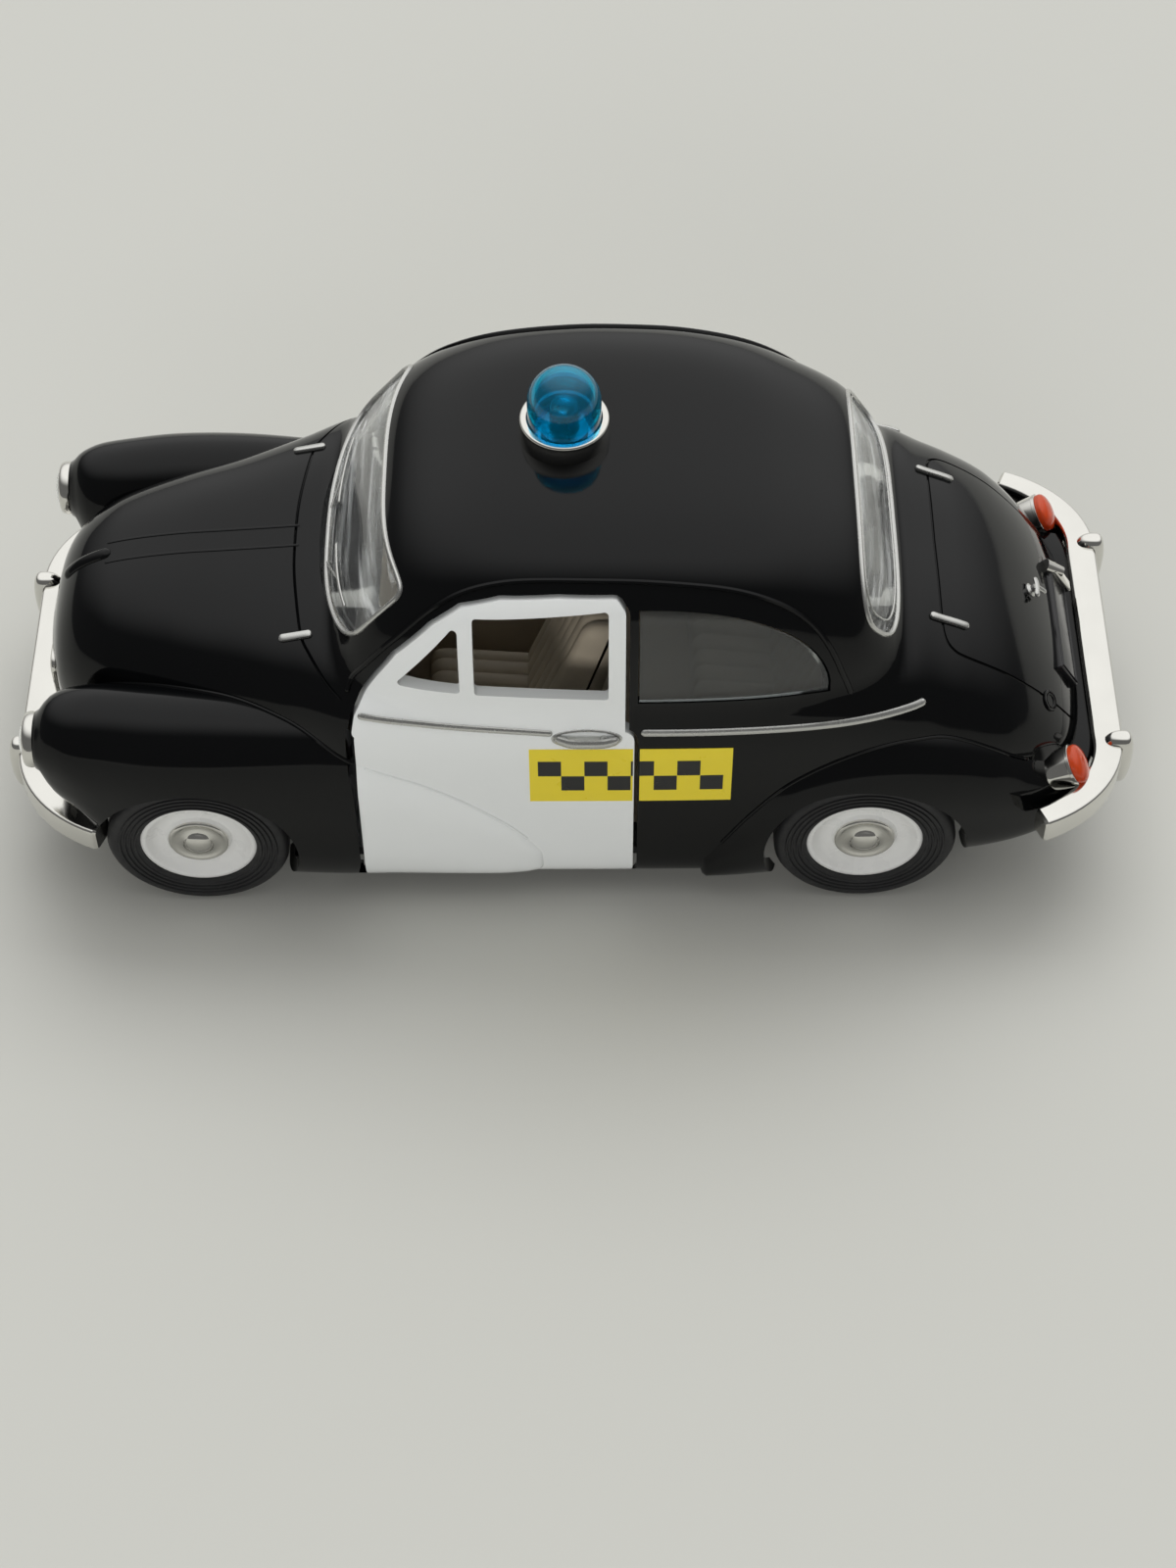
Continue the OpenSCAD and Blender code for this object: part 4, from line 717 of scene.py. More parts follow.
def panel_film():
    """Yellow film with two rows of black squares along its middle."""
    if "panel_film" in FINISHES:
        return FINISHES["panel_film"]
    mat = finish("panel_film", colours().panel, 0.32, grain=500, grip=0.06, bump=0.08, bump_grain=1500, shade=0.03)
    tree = mat.node_tree
    base = tree.nodes["Principled BSDF"].inputs["Base Color"]
    yellow = base.links[0].from_socket
    split = add_node(tree, "SeparateXYZ", Vector=add_node(tree, "TexCoord").outputs["Object"])
    x, z = split.outputs["X"], split.outputs["Z"]

    def reckoned(kind, *values):
        """Output of a new sum of the pattern."""
        node = add_node(tree, "Math", {"operation": kind})
        for socket, value in zip(node.inputs, values):
            fill(tree, socket, value)
        return node.outputs["Value"]
    square, mid_x, mid_z = PANEL_SQUARE * MM, PANEL_X * MM, PANEL_Z * MM
    column = reckoned("FLOOR", reckoned("DIVIDE", reckoned("SUBTRACT", x, mid_x), square))
    row = reckoned("FLOOR", reckoned("DIVIDE", reckoned("SUBTRACT", z, mid_z), square))
    odd = reckoned("MULTIPLY", reckoned("FRACT", reckoned("MULTIPLY", reckoned("ADD", column, row), 0.5)), 2)
    within = reckoned("MULTIPLY", odd, reckoned("COMPARE", z, mid_z, square))
    ink = reckoned("MULTIPLY", within, reckoned("COMPARE", x, mid_x, 4 * square))
    tint = add_node(tree, "Mix", {"data_type": "RGBA"}, Factor=ink, A=yellow, B=(0.012, 0.012, 0.012, 1))
    fill(tree, base, tint.outputs["Result"])
    return mat


class TOYCAR_OT_stage(bpy.types.Operator):
    """Pale floor, soft light and the camera"""
    bl_idname = "toy_car.stage"
    bl_label = "Stage"

    def execute(self, context):
        scene = context.scene
        bm = bmesh.new()
        bmesh.ops.create_grid(bm, x_segments=4, y_segments=4, size=4)
        mesh = bpy.data.meshes.new("table_top")
        bm.to_mesh(mesh)
        bm.free()
        mesh.materials.append(finish("pale_table", colours().floor, 0.5, grain=9, grip=0.08, bump=0.12,
                                     bump_grain=700, shade=0.02))
        floor = bpy.data.objects.new("table_top", mesh)
        scene.collection.objects.link(floor)

        world = bpy.data.worlds.new("soft_room")
        world.use_nodes = True
        tree = world.node_tree
        sky = tree.nodes["Background"].inputs
        sky["Color"].default_value = (1.0, 1.0, 0.99, 1)
        facing = add_node(tree, "VectorMath", {"operation": "DOT_PRODUCT"})
        fill(tree, facing.inputs[0], add_node(tree, "TexCoord").outputs["Generated"])
        fill(tree, facing.inputs[1], (-0.1, -0.55, 0.83))
        glow = add_node(tree, "MapRange", {"interpolation_type": "SMOOTHSTEP"}, From_Min=0.3, From_Max=0.88,
                        To_Min=0.14, To_Max=1.12, Value=facing.outputs["Value"])
        fill(tree, sky["Strength"], glow.outputs["Result"])
        scene.world = world

        def lamp(name, spot, aim, size, power):
            light = bpy.data.lights.new(name, "AREA")
            light.shape, light.size, light.size_y, light.energy = "RECTANGLE", size[0], size[1], power
            obj = bpy.data.objects.new(name, light)
            obj.location = spot
            obj.rotation_euler = (Vector(aim) - Vector(spot)).to_track_quat("-Z", "Y").to_euler()
            obj.visible_glossy = False
            scene.collection.objects.link(obj)
        lamp("window_light", (-0.1, -0.55, 0.95), (0, 0, 0.02), (1.0, 0.6), 4.4)
        lamp("room_light", (0.2, 0.85, 0.36), (0, 0, 0.02), (0.9, 0.3), 2.8)

        tilt, yaw, roll = math.radians(52.19), math.radians(0.01), math.radians(-0.24)
        ahead = Vector((math.sin(yaw) * math.cos(tilt), -math.cos(yaw) * math.cos(tilt), -math.sin(tilt)))
        right = ahead.cross(Vector((0, 0, 1))).normalized()
        up = right.cross(ahead)
        right, up = (right * math.cos(roll) + up * math.sin(roll), up * math.cos(roll) - right * math.sin(roll))
        lens = bpy.data.cameras.new("photo_camera")
        lens.lens, lens.sensor_width = 67.25, 36
        lens.clip_start, lens.clip_end = 0.01, 20
        camera = bpy.data.objects.new("photo_camera", lens)
        turn = Matrix((right, up, -ahead)).transposed().to_4x4()
        camera.matrix_world = Matrix.Translation(Vector((-1.84, 200.94, 250.08)) * MM) @ turn
        scene.collection.objects.link(camera)
        scene.camera = camera
        scene.view_settings.view_transform = "Standard"
        return {"FINISHED"}


SKIN = {}


def main_form(d, drop, stations, low, high):
    """Lower body and cabin in one form, from tail to nose."""
    x0, x1 = TAIL_X + d, NOSE_X - d
    turn = np.radians(np.concatenate([np.linspace(-90, -14, low), np.linspace(-12, 90, high)]))
    rings = []
    for k in range(stations + 1):
        x = x0 + (x1 - x0) * (0.36 * (1 - math.cos(math.pi * k / stations)) + 0.28 * k / stations)
        y, z = half_section(x, turn, d, drop)
        left = [Vector((x, float(a), float(b))) for a, b in zip(y, z)]
        rings.append(left + [Vector((x, -p.y, p.z)) for p in reversed(left[1:-1])])
    return woven(rings, around=True, capped=True)


def wings(d, stations=84, around=72):
    """Front and rear wings of both sides, each with rounded ends."""
    pair = []
    for rows, span in ((FRONT_WING_ROWS, FRONT_WING), (REAR_WING_ROWS, REAR_WING)):
        ends = [0.02, 0.1, 0.3, 0.6]
        xs = [span[0] + d - 1 + e for e in ends] + list(np.linspace(span[0] + d, span[1] - d, stations)) + \
            [span[1] - d + 1 - e for e in reversed(ends)]
        rings = []
        for x in xs:
            cy, cz, half, rise, fall, up, down, crown = wing_section(rows, span, x, d)
            ring = []
            for k in range(around):
                c, s = math.cos(2 * math.pi * k / around), math.sin(2 * math.pi * k / around)
                power = 2 / (up if s >= 0 else down)
                ring.append(Vector((x, cy + half * math.copysign(abs(c) ** power, c),
                                    cz + rise * math.copysign(abs(s) ** power, s))))
            rings.append(ring)
        pair.append(both(woven(rings, around=True, capped=True)))
    return pair


def together(forms):
    """One closed form of several that overlap."""
    whole = held(forms[0].copy(), "whole")
    for bm in forms[1:]:
        carve(whole, bm.copy(), "UNION")
    return taken(whole)


def uncut_skin():
    """Solid casting before its openings are cut and it is hollowed."""
    if not SKIN:
        SKIN["forms"] = [main_form(0, 0, 170, 8, 84)] + wings(0)
        SKIN["outer"] = together(SKIN["forms"])
        SKIN["inner"] = together([main_form(WALL, 8, 80, 8, 44)] + wings(WALL, 40, 36))
    return held(SKIN["outer"].copy(), "casting")


def hollowed(obj):
    """Mesh of a cut casting with the room inside taken out."""
    carve(obj, SKIN["inner"].copy())
    drop_slivers(obj)
    return taken(obj)


def drop_slivers(obj):
    """Takes away loose flakes, so that only the main shell is left."""
    bm = bmesh.new()
    bm.from_mesh(obj.data)
    rest, islands = set(bm.verts), []
    while rest:
        island, edge = set(), [rest.pop()]
        while edge:
            v = edge.pop()
            island.add(v)
            fresh = [e.other_vert(v) for e in v.link_edges]
            fresh = [q for q in fresh if q in rest]
            rest.difference_update(fresh)
            edge += fresh
        islands.append(island)
    main = max(islands, key=len)
    bmesh.ops.delete(bm, geom=[v for v in bm.verts if v not in main], context="VERTS")
    bm.to_mesh(obj.data)
    bm.free()


def door_spot(share):
    return DOOR_X1 - share[0] * DOOR_L, DOOR_Z + share[1] * DOOR_H


def door_prisms(grow, y0, y1):
    r = 1.2
    low = [(x, z) for x in (DOOR_X0 + r, DOOR_X1 - r) for z in (DOOR_FOOT + r, BELT_Z - r)]
    frame_spots = [(x + (0.15 if share[0] > 0.9 else 0), z)
                   for share, (x, z) in ((share, door_spot(share)) for share in DOOR_FRAME)]
    return prism(low, r + grow, y0, y1), prism(frame_spots, 0.75 + grow, y0, y1)


def plate_of(grid, d0, d1):
    """Closed plate of the cabin skin between two depths."""
    rows = [[cabin_point(s, a, d0) for s, a in row] + [cabin_point(s, a, d1) for s, a in reversed(row)]
            for row in grid]
    return woven(rows, around=True, capped=True)


def across_grid(window, k):
    qs = [math.sin(math.pi / 2 * t / 24) * 0.998 for t in range(-24, 25)]
    return [[across(window, q, v / 8, k) for v in range(-8, 9)] for q in qs]


def quarter_grid(k):
    us = [(1 - math.sin(math.pi / 2 * t / 18)) / 2 * 0.994 for t in range(-18, 19)]
    return [[quarter_spot(u, v / 8, k) for v in range(9)] for u in us]


def crease(x0, x1, wide=0.2):
    """Raised line along the fold where a wing leaves the body."""
    path, ups = [], []
    for x in np.linspace(x0, x1, 60):
        ring, wing, hull = flank(x)[::-1], wing_at(x), hull_section(x)
        depth = level(wing, ring[:, 0], ring[:, 1])
        if not (depth < 1).any() or depth[0] < 1:
            continue
        i = int((depth < 1).argmax())
        t = (depth[i - 1] - 1) / (depth[i - 1] - depth[i])
        y, z = ring[i - 1] + (ring[i] - ring[i - 1]) * t
        y, z = float(y), float(z)
        path.append(Vector((x, y, z)))
        off_wing, off_hull = Vector((0, y - wing[0], z - wing[1])), Vector((0, y, z - hull[1]))
        ups.append(off_wing.normalized() + off_hull.normalized())
    return bead(path, ups, wide, 0.2, sides=8)


class TOYCAR_OT_body(bpy.types.Operator):
    """Black casting with wings, cabin, shut lines and cast details"""
    bl_idname = "toy_car.body"
    bl_label = "Body"

    def execute(self, context):
        shell = uncut_skin()
        low, top = door_prisms(DOOR_GAP, DOOR_IN_Y, 40)
        roll = rod((HINGE_X, HINGE_Y, DOOR_FOOT + 0.02), (HINGE_X, HINGE_Y, BELT_Z), ROLL_R + 0.3, 40)
        screen, rear, quarter = (plate_of(grid, OPEN_OUT, OPEN_IN) for grid in (
            across_grid(SCREEN, 1), across_grid(REAR_LIGHT, 1), quarter_grid(1)))
        windows = joined(screen, rear, both(quarter))
        arches = [rod((x, ARCH_IN_Y, WHEEL_Z), (x, 45, WHEEL_Z), TYRE_R + ARCH_ROOM, 96) for x in (FRONT_X, REAR_X)]
        mouth = block((NOSE_X - 3, -6.55, 13.55), (NOSE_X + 6, 6.55, 20.05))
        for tool in (SKIN["inner"].copy(), self.shut_lines(), both(low), both(top), both(roll), windows,
                     both(joined(*arches)), mouth):
            carve(shell, tool)
        drop_slivers(shell)
        if len(shell.data.polygons) < LEAST_FACES:
            raise RuntimeError("The casting lost its skin")
        piece("black_casting", taken(shell), body_paint(), nodes=("body_shell",),
              sharp=32, skins=SKIN["forms"])
        self.cast_details()
        return {"FINISHED"}

    def shut_lines(self):
        """Grooves round the bonnet and the boot lid."""
        bonnet = [(22.3, 19.35), (23.8, 17.7), (25.5, 14.8), (26.4, 12.6), (27.1, 8), (27.5, 4), (27.6, 0)]
        boot = [(-36.9, 0), (-36.95, 5), (-37.0, 10), (-37.25, 12), (-38, 13.0), (-39.2, 13.35), (-42, 13.3),
                (-45, 13.0), (-48, 12.5), (-50.3, 12.0), (-51.8, 11.4)]
        lines = []
        for line in (bonnet, boot):
            half = smooth_line(line, 6)
            other = [(x, -y) for x, y in reversed(half) if y > 0.01]
            path = half + other if line is bonnet else other + half
            lines.append(ridge([top_spot(x, y) for x, y in path], sizes().seam, 0.24, sides=8))
        return joined(*lines)

    def cast_details(self):
        """Bonnet creases, gutters, wing and cabin folds, and filler cap."""
        paint = body_paint()
        creases = both(ridge([top_spot(27.3 + 0.7 * k, 1.35) for k in range(29)], 0.16, 0.1, sides=8))
        bulge = ridge([top_spot(47.2 + 0.4 * k, 0) for k in range(11)], 0.75, 0.5, -0.1, sides=12)
        piece("bonnet_creases", joined(creases, bulge), paint)

        outline = [(21.6, 30.4), (20.7, 32.0), (18.6, 34.9), (16.6, 37.3), (13.3, 40.6), (10.0, 42.7), (6.0, 43.9),
                   (1.0, 44.35), (-5.0, 44.35), (-11.0, 43.9), (-16.0, 42.9), (-20.0, 41.2), (-23.2, 38.7),
                   (-25.2, 35.8), (-26.6, 32.4), (-27.4, 30.2)]
        gutter = both(ridge([side_spot(x, z) for x, z in smooth_line(outline, 5)], 0.3, 0.3, sides=8))
        piece("roof_gutters", gutter, paint)

        piece("wing_creases", both(joined(crease(21.6, 51.5), crease(-15.5, -46))), paint)
        folds = []
        for k in (1.35, 1.62):
            spots = [cabin_spot(*across(REAR_LIGHT, q, -1, k)) for q in np.linspace(-0.9, 0.9, 41)]
            folds.append(ridge(spots, 0.16, 0.12, sides=8))
        piece("cabin_folds", joined(*folds), paint)

        p, n = side_spot(-48.6, 20.7)
        ring = turned([(0, 0.1), (0.55, 0.1), (0.62, 0.2), (0.74, 0.2), (0.8, 0.06), (0.86, 0.06), (0.92, 0.18),
                       (1.02, 0.2), (1.12, 0.1), (1.14, -0.3)], p, n, 40)
        piece("filler_cap", ring, paint)


def smooth_line(points, steps):
    """Curve through points, with steps between each pair."""
    pts = [Vector(p) for p in points]
    line = []
    for i in range(len(pts) - 1):
        a, b = pts[max(i - 1, 0)], pts[i]
        c, d = pts[i + 1], pts[min(i + 2, len(pts) - 1)]
        for k in range(steps):
            t = k / steps
            line.append(0.5 * (2 * b + (c - a) * t + (2 * a - 5 * b + 4 * c - d) * t * t
                               + (3 * b - a - 3 * c + d) * t**3))
    return [tuple(p) for p in line + [pts[-1]]]


class TOYCAR_OT_doors(bpy.types.Operator):
    """White doors with their windows, belt strips and handles"""
    bl_idname = "toy_car.doors"
    bl_label = "Doors"

    def execute(self, context):
        low, top = door_prisms(0, DOOR_IN_Y, 40)
        outline = held(low, "outline")
        carve(outline, top, "UNION")
        door = uncut_skin()
        carve(door, taken(outline), "INTERSECT")
        carve(door, self.front_edge())
        carve(door, joined(*[prism([door_spot(p) for p in spots], 0.4, 5, 40) for spots in (DOOR_WINDOW, VENT_WINDOW)]))
        carve(door, rod((HINGE_X, HINGE_Y, 10.5), (HINGE_X, HINGE_Y, 18.9), 0.7, 32))
        for z in (10.5, 17.5):
            carve(door, block((HINGE_X - 1.3, 10, z - 0.2), (HINGE_X + 6, 22.45, z + 1.6)))
        left = hollowed(door)
        right = mirrored(left)
        for name, bm, side in (("left", left, LEFT), ("right", right, RIGHT)):
            body = name + "_door"
            piece(name + "_door_skin", bm, door_paint(), body, (name + "_door",), 32, SKIN["forms"])
            self.brightwork(name, body, side)
        return {"FINISHED"}

    def front_edge(self):
        """Corner that the rolled front edge leaves free."""
        bm = bmesh.new()
        edge = [(ROLL_R * math.sin(math.radians(t)), ROLL_R * math.cos(math.radians(t))) for t in range(0, 91, 5)]
        edge += [(6, 0), (6, 12), (0, 12)]
        face = bm.faces.new([bm.verts.new((HINGE_X + x, HINGE_Y + y, -2)) for x, y in edge])
        made = bmesh.ops.extrude_face_region(bm, geom=[face])
        top = [g for g in made["geom"] if isinstance(g, bmesh.types.BMVert)]
        bmesh.ops.translate(bm, vec=(0, 0, 60), verts=top)
        bmesh.ops.recalc_face_normals(bm, faces=bm.faces)
        return bm

    def brightwork(self, name, body, side):
        """Crease, belt strip and handle of one door."""
        leaf = crease(4.5, 20.2, 0.16)
        piece(name + "_door_crease", leaf if side > 0 else mirrored(leaf), door_paint(), body)
        path = smooth_line([(20.3, 28.55), (14, 28.0), (8, 27.45), (2.0, 26.95)], 8)
        strip = ridge([side_spot(x, z, side) for x, z in path], sizes().strip, 0.24, 0.05)
        piece(name + "_belt_strip", strip, silver_print(), body)
        grip = [side_spot(x, HANDLE_Z, side) for x in np.linspace(1.0, -4.4, 12)]
        lift = [0.25, 0.5, 0.72, 0.8, 0.82, 0.82, 0.82, 0.82, 0.8, 0.74, 0.6, 0.4]
        handle = bead([p + n * k for (p, n), k in zip(grip, lift)], [n for p, n in grip], 0.52, 0.36, sides=12)
        feet = []
        for x, high, r in ((-3.4, 0.7, 0.45), (0.6, 0.5, 0.42)):
            p, n = side_spot(x, HANDLE_Z, side)
            feet.append(rod(p - n * 0.4, p + n * high, r, 20))
        rim = [side_spot(-1.7 + 3.35 * math.cos(t), HANDLE_Z + 1.02 * math.sin(t), side)
               for t in np.linspace(0, 2 * math.pi, 40, endpoint=False)]
        edge = ridge(rim, 0.16, 0.16, sides=8, closed=True)
        piece(name + "_door_handle", joined(handle, *feet, edge), silver_print(), body)


class TOYCAR_OT_glazing(bpy.types.Operator):
    """Clear panes with bright frames and wipers"""
    bl_idname = "toy_car.glazing"
    bl_label = "Glazing"

    def execute(self, context):
        for name, window in (("windscreen", SCREEN), ("rear_window", REAR_LIGHT)):
            pane = plate_of(across_grid(window, PANE_SHARE), PANE_OUT, PANE_IN)
            piece(name + "_pane", pane, clear_plastic(), nodes=(name,), sharp=40)
            piece(name + "_frame", self.frame(window, PANE_SHARE), silver_print())
        piece("rear_window_lines", self.frame(REAR_LIGHT, 0.84, 0.1), silver_print())
        left = plate_of(quarter_grid(PANE_SHARE), PANE_OUT, PANE_IN)
        for name, pane in (("left", left), ("right", mirrored(left))):
            piece(name + "_quarter_pane", pane, dark_clear_plastic(), nodes=(name + "_quarter_window",),
                  sharp=40)
        self.wipers()
        return {"FINISHED"}

    def frame(self, window, k, wide=None):
        wide = wide or sizes().frame_bead
        qs = [math.sin(math.pi / 2 * t / 30) * 0.999 for t in range(-30, 31)]
        loop = [across(window, q, 1, k) for q in qs] + [across(window, q, -1, k) for q in reversed(qs)]
        return ridge([cabin_spot(s, a) for s, a in loop], wide, min(0.3, wide), closed=True)

    def wipers(self):
        """Two thin wipers along the foot of the windscreen."""
        parts = []
        for (s0, a0), (s1, a1) in (((0.955, 86), (0.934, 58)), ((0.9555, 95), (0.936, 118))):
            steps = [k / 12 for k in range(13)]
            blade = [cabin_spot(s0 + (s1 - s0) * t * t * 0.6 + (s1 - s0) * t * 0.4, a0 + (a1 - a0) * t) for t in steps]
            arm = [cabin_spot(s0 + 0.022 - 0.026 * t, a0 + (a1 - a0) * 0.45 * t) for t in steps]
            parts += [ridge(blade, 0.16, 0.14, sides=8), ridge(arm, 0.11, 0.12, sides=8)]
        piece("wipers", joined(*parts), silver_print())


class TOYCAR_OT_livery(bpy.types.Operator):
    """Yellow side panels and the silver strips of the rear quarters"""
    bl_idname = "toy_car.livery"
    bl_label = "Livery"

    def execute(self, context):
        for name, side in SIDES:
            for end, x1, x0, body in (("door", 4.0, DOOR_X0 + 0.12, name + "_door"),
                                      ("quarter", DOOR_X0 - 0.55, -16.1, "body")):
                piece("%s_%s_panel" % (name, end), self.film(x0, x1, side), panel_film(), body)
            path = smooth_line([(-7.4, 26.95), (-12, 26.95), (-18, 27.05), (-24, 27.3), (-30, 27.65),
                                (-34.6, 27.95)], 8)
            strip = ridge([side_spot(x, z, side) for x, z in path], sizes().strip + 0.04, 0.24, 0.05)
            piece(name + "_quarter_strip", strip, silver_print())
        return {"FINISHED"}

    def film(self, x0, x1, side):
        rows = []
        for x in np.linspace(x0, x1, 22):
            spots = [side_spot(x, z, side) for z in np.linspace(PANEL_LOW, PANEL_HIGH, 16)]
            rows.append([p + n * sizes().decal for p, n in spots] + [p - n * 0.1 for p, n in reversed(spots)])
        return woven(rows, around=True, capped=True)


class TOYCAR_OT_bumpers(bpy.types.Operator):
    """Plated bumpers with overriders"""
    bl_idname = "toy_car.bumpers"
    bl_label = "Bumpers"

    def execute(self, context):
        for node, way, half, aside, deep, inset in (("front_bumper", 1, 24.0, 11.4, 4.0, 1.2),
                                                    ("rear_bumper", -1, 25.6, 13.7, 3.1, 1.7)):
            low, high = node_box(node)
            face = (high.x if way > 0 else -low.x) - inset
            z0 = low.z + 3
            bar = self.bar(face, z0, half, deep)
            riders = both(self.rider(face, z0, aside))
            tabs = both(block((face - 7.8, 2.5, z0 + 0.9), (face - 2.4, 5.5, z0 + 2.3), 0.1))
            whole = joined(bar, riders, tabs)
            if way < 0:
                bmesh.ops.scale(whole, vec=(-1, 1, 1), verts=whole.verts)
                bmesh.ops.reverse_faces(whole, faces=whole.faces)
            piece(node + "_bar", whole, plating(), nodes=(node,), sharp=38)
            lip = self.apron(face - deep + 0.3, z0)
            if way < 0:
                bmesh.ops.rotate(lip, matrix=Matrix.Rotation(math.pi, 3, "Z"), verts=lip.verts)
            piece(node + "_apron", lip, body_paint(), sharp=38)
        return {"FINISHED"}

    def bar(self, face, z0, half, deep):
        """Bar that runs straight across and sweeps back round both corners."""
        high, back, turn = 3.2, 15.0, 12.5
        sweep = [(0.0, y) for y in np.linspace(0, half - turn, 12)]
        sweep += [(back * (1 - math.cos(t)), half - turn + turn * math.sin(t))
                  for t in np.radians(np.linspace(4, 65, 16))]
        rows = []
        for i, (x, y) in enumerate(sweep):
            a, b = sweep[max(i - 1, 0)], sweep[min(i + 1, len(sweep) - 1)]
            out = Vector((b[1] - a[1], b[0] - a[0], 0)).normalized()
            wide = deep * (1 if i < 12 else 1 - 0.25 * (i - 11) / 16)
            section = rounded([(-wide, 0), (0, 0), (0, high), (-wide, high)], 0.5, 6)
            rows.append([Vector((face - x, y, z0 + q)) + out * p for p, q in section])
        mid = sum(rows[-1], Vector()) / len(rows[-1])
        rows.append([mid + (p - mid) * 0.85 + Vector((-0.25, 0.1, 0)) for p in rows[-1]])
        other = [[Vector((p.x, -p.y, p.z)) for p in row] for row in reversed(rows[1:])]
        return woven(other + rows, around=True, capped=True)

    def apron(self, face, z0):
        """Painted lip of the body that the bar lies against."""
        rows = []
        for y in np.linspace(-15.5, 15.5, 36):
            x = face - 15 * (1 - math.sqrt(1 - (max(0, abs(y) - 11.5) / 12.5) ** 2))
            section = rounded([(-6, 0.3), (0, 0.3), (0, 2.5), (-6, 3.6)], 0.5, 4)
            rows.append([Vector((x + p, y, z0 + q)) for p, q in section])
        return woven(rows, around=True, capped=True)

    def rider(self, face, z0, aside):
        """Upright overrider with a rounded head."""
        rows = []
        for t in np.radians(np.linspace(-88, 88, 25)):
            swell = max(0.02, math.cos(t)) ** 0.5
            ring = []
            for a in np.radians(np.arange(0, 360, 15)):
                x, y = math.cos(a), math.sin(a)
                wide = 1.3 * swell * math.copysign(abs(y) ** 0.8, y)
                out = (1.2 if x > 0 else 2.4) * swell * math.copysign(abs(x) ** 0.8, x)
                ring.append(Vector((face + out - 0.02, aside + wide, z0 + 0.5 + 3.5 * math.sin(t))))
            rows.append(ring)
        return woven(rows, around=True, capped=True)


class TOYCAR_OT_lamps(bpy.types.Operator):
    """Headlamps and tail lamps"""
    bl_idname = "toy_car.lamps"
    bl_label = "Lamps"

    def execute(self, context):
        for name, side in SIDES:
            low, high = node_box(name + "_headlamp_rim")
            spot = Vector((low.x, (low.y + high.y) / 2, (low.z + high.z) / 2))
            rim = [(2.25, -0.2)] + arc(2.5, 0.75, 0.36, 0.75, -90, 90, 12)
            rim += [(2.28, 1.5), (2.22, 1.3), (2.25, -0.2)]
            piece(name + "_headlamp_bezel", turned(rim, spot, (1, 0, 0)), plating(), nodes=(name + "_headlamp_rim",),
                  sharp=50)
            bowl = [(0, 0.15), (0.8, 0.2), (1.6, 0.45), (2.15, 0.95), (2.2, 0.9), (1.7, 0.3), (0, 0)]
            piece(name + "_headlamp_bowl", turned(bowl, spot, (1, 0, 0)), plating(), sharp=60)
            dome = [(0, 1.0), (2.18, 1.0), (2.2, 1.2)] + arc(0, 1.2, 2.2, 0.9, 0, 90, 14)
            piece(name + "_headlamp_glass", turned(dome, spot, (1, 0, 0)), clear_plastic(),
                  nodes=(name + "_headlamp_lens",), sharp=60)
            tilt = math.radians(30)
            axis = Vector((-math.cos(tilt), 0, math.sin(tilt)))
            seat = Vector((REAR_X - 21.1, side * 17.4, 16.4))
            tube = [(0, -4.6), (1.3, -4.4), (1.85, -3.6), (2.1, -2.4), (2.15, -0.4), (2.22, -0.35), (2.22, -0.05),
                    (2.15, 0), (0, 0)]
            piece(name + "_tail_tube", turned(tube, seat, axis), plating(), nodes=(name + "_tail_housing",),
                  sharp=40)
            glass = [(0, 0.02), (2.05, 0.02), (2.05, 0.36)] + arc(0, 0.36, 2.05, 0.84, 0, 90, 14)
            red = finish("red_lens", colours().lens, 0.12, grain=400, grip=0.04, shade=0.05, bump=0.1,
                         Transmission_Weight=0.45, IOR=1.49)
            piece(name + "_tail_glass", turned(glass, seat, axis), red, nodes=(name + "_tail_lens",),
                  sharp=60)
        return {"FINISHED"}


class TOYCAR_OT_beacon(bpy.types.Operator):
    """Blue roof beacon on its plated ring"""
    bl_idname = "toy_car.beacon"
    bl_label = "Beacon"

    def execute(self, context):
        low, high = node_box("beacon_base")
        spot = Vector(((low.x + high.x) / 2, 0, low.z))
        ring = [(0, 0), (4.42, 0), (4.42, 1.9), (4.36, 2.05), (4.36, 2.35)] + arc(4.11, 2.35, 0.25, 0.25, 0, 90, 5)
        ring += [(3.72, 2.6), (3.66, 2.5), (3.66, 1.12), (0, 1.12)]
        piece("beacon_ring", turned(ring, spot, (0, 0, 1), 96), plating(), nodes=("beacon_base",),
              sharp=36)
        seat = spot + Vector((0, 0, 1.15))
        outer = [(3.6, 0)] + arc(0, 3.5, 3.6, 3.6, 0, 90, 24)
        inner = [(0, 6.3)] + arc(0, 3.4, 2.9, 2.9, 0, 90, 24)[::-1] + [(2.9, 0), (3.6, 0)]
        blue = finish("blue_dome", colours().dome, 0.05, grain=300, grip=0.02, shade=0.08, bump=0.02,
                      Transmission_Weight=0.86, IOR=1.45)
        piece("beacon_blue_dome", turned(outer + inner, seat, (0, 0, 1), 96), blue, nodes=("beacon_dome",),
              sharp=60)
        bulb = [(0, 0), (2.3, 0), (2.3, 0.5), (1.5, 0.6), (1.5, 2.5)] + arc(0, 2.5, 1.5, 1.5, 8, 90, 10)
        piece("beacon_lamp", turned(bulb, seat, (0, 0, 1)), silver_print(), nodes=("beacon_bulb",))
        return {"FINISHED"}


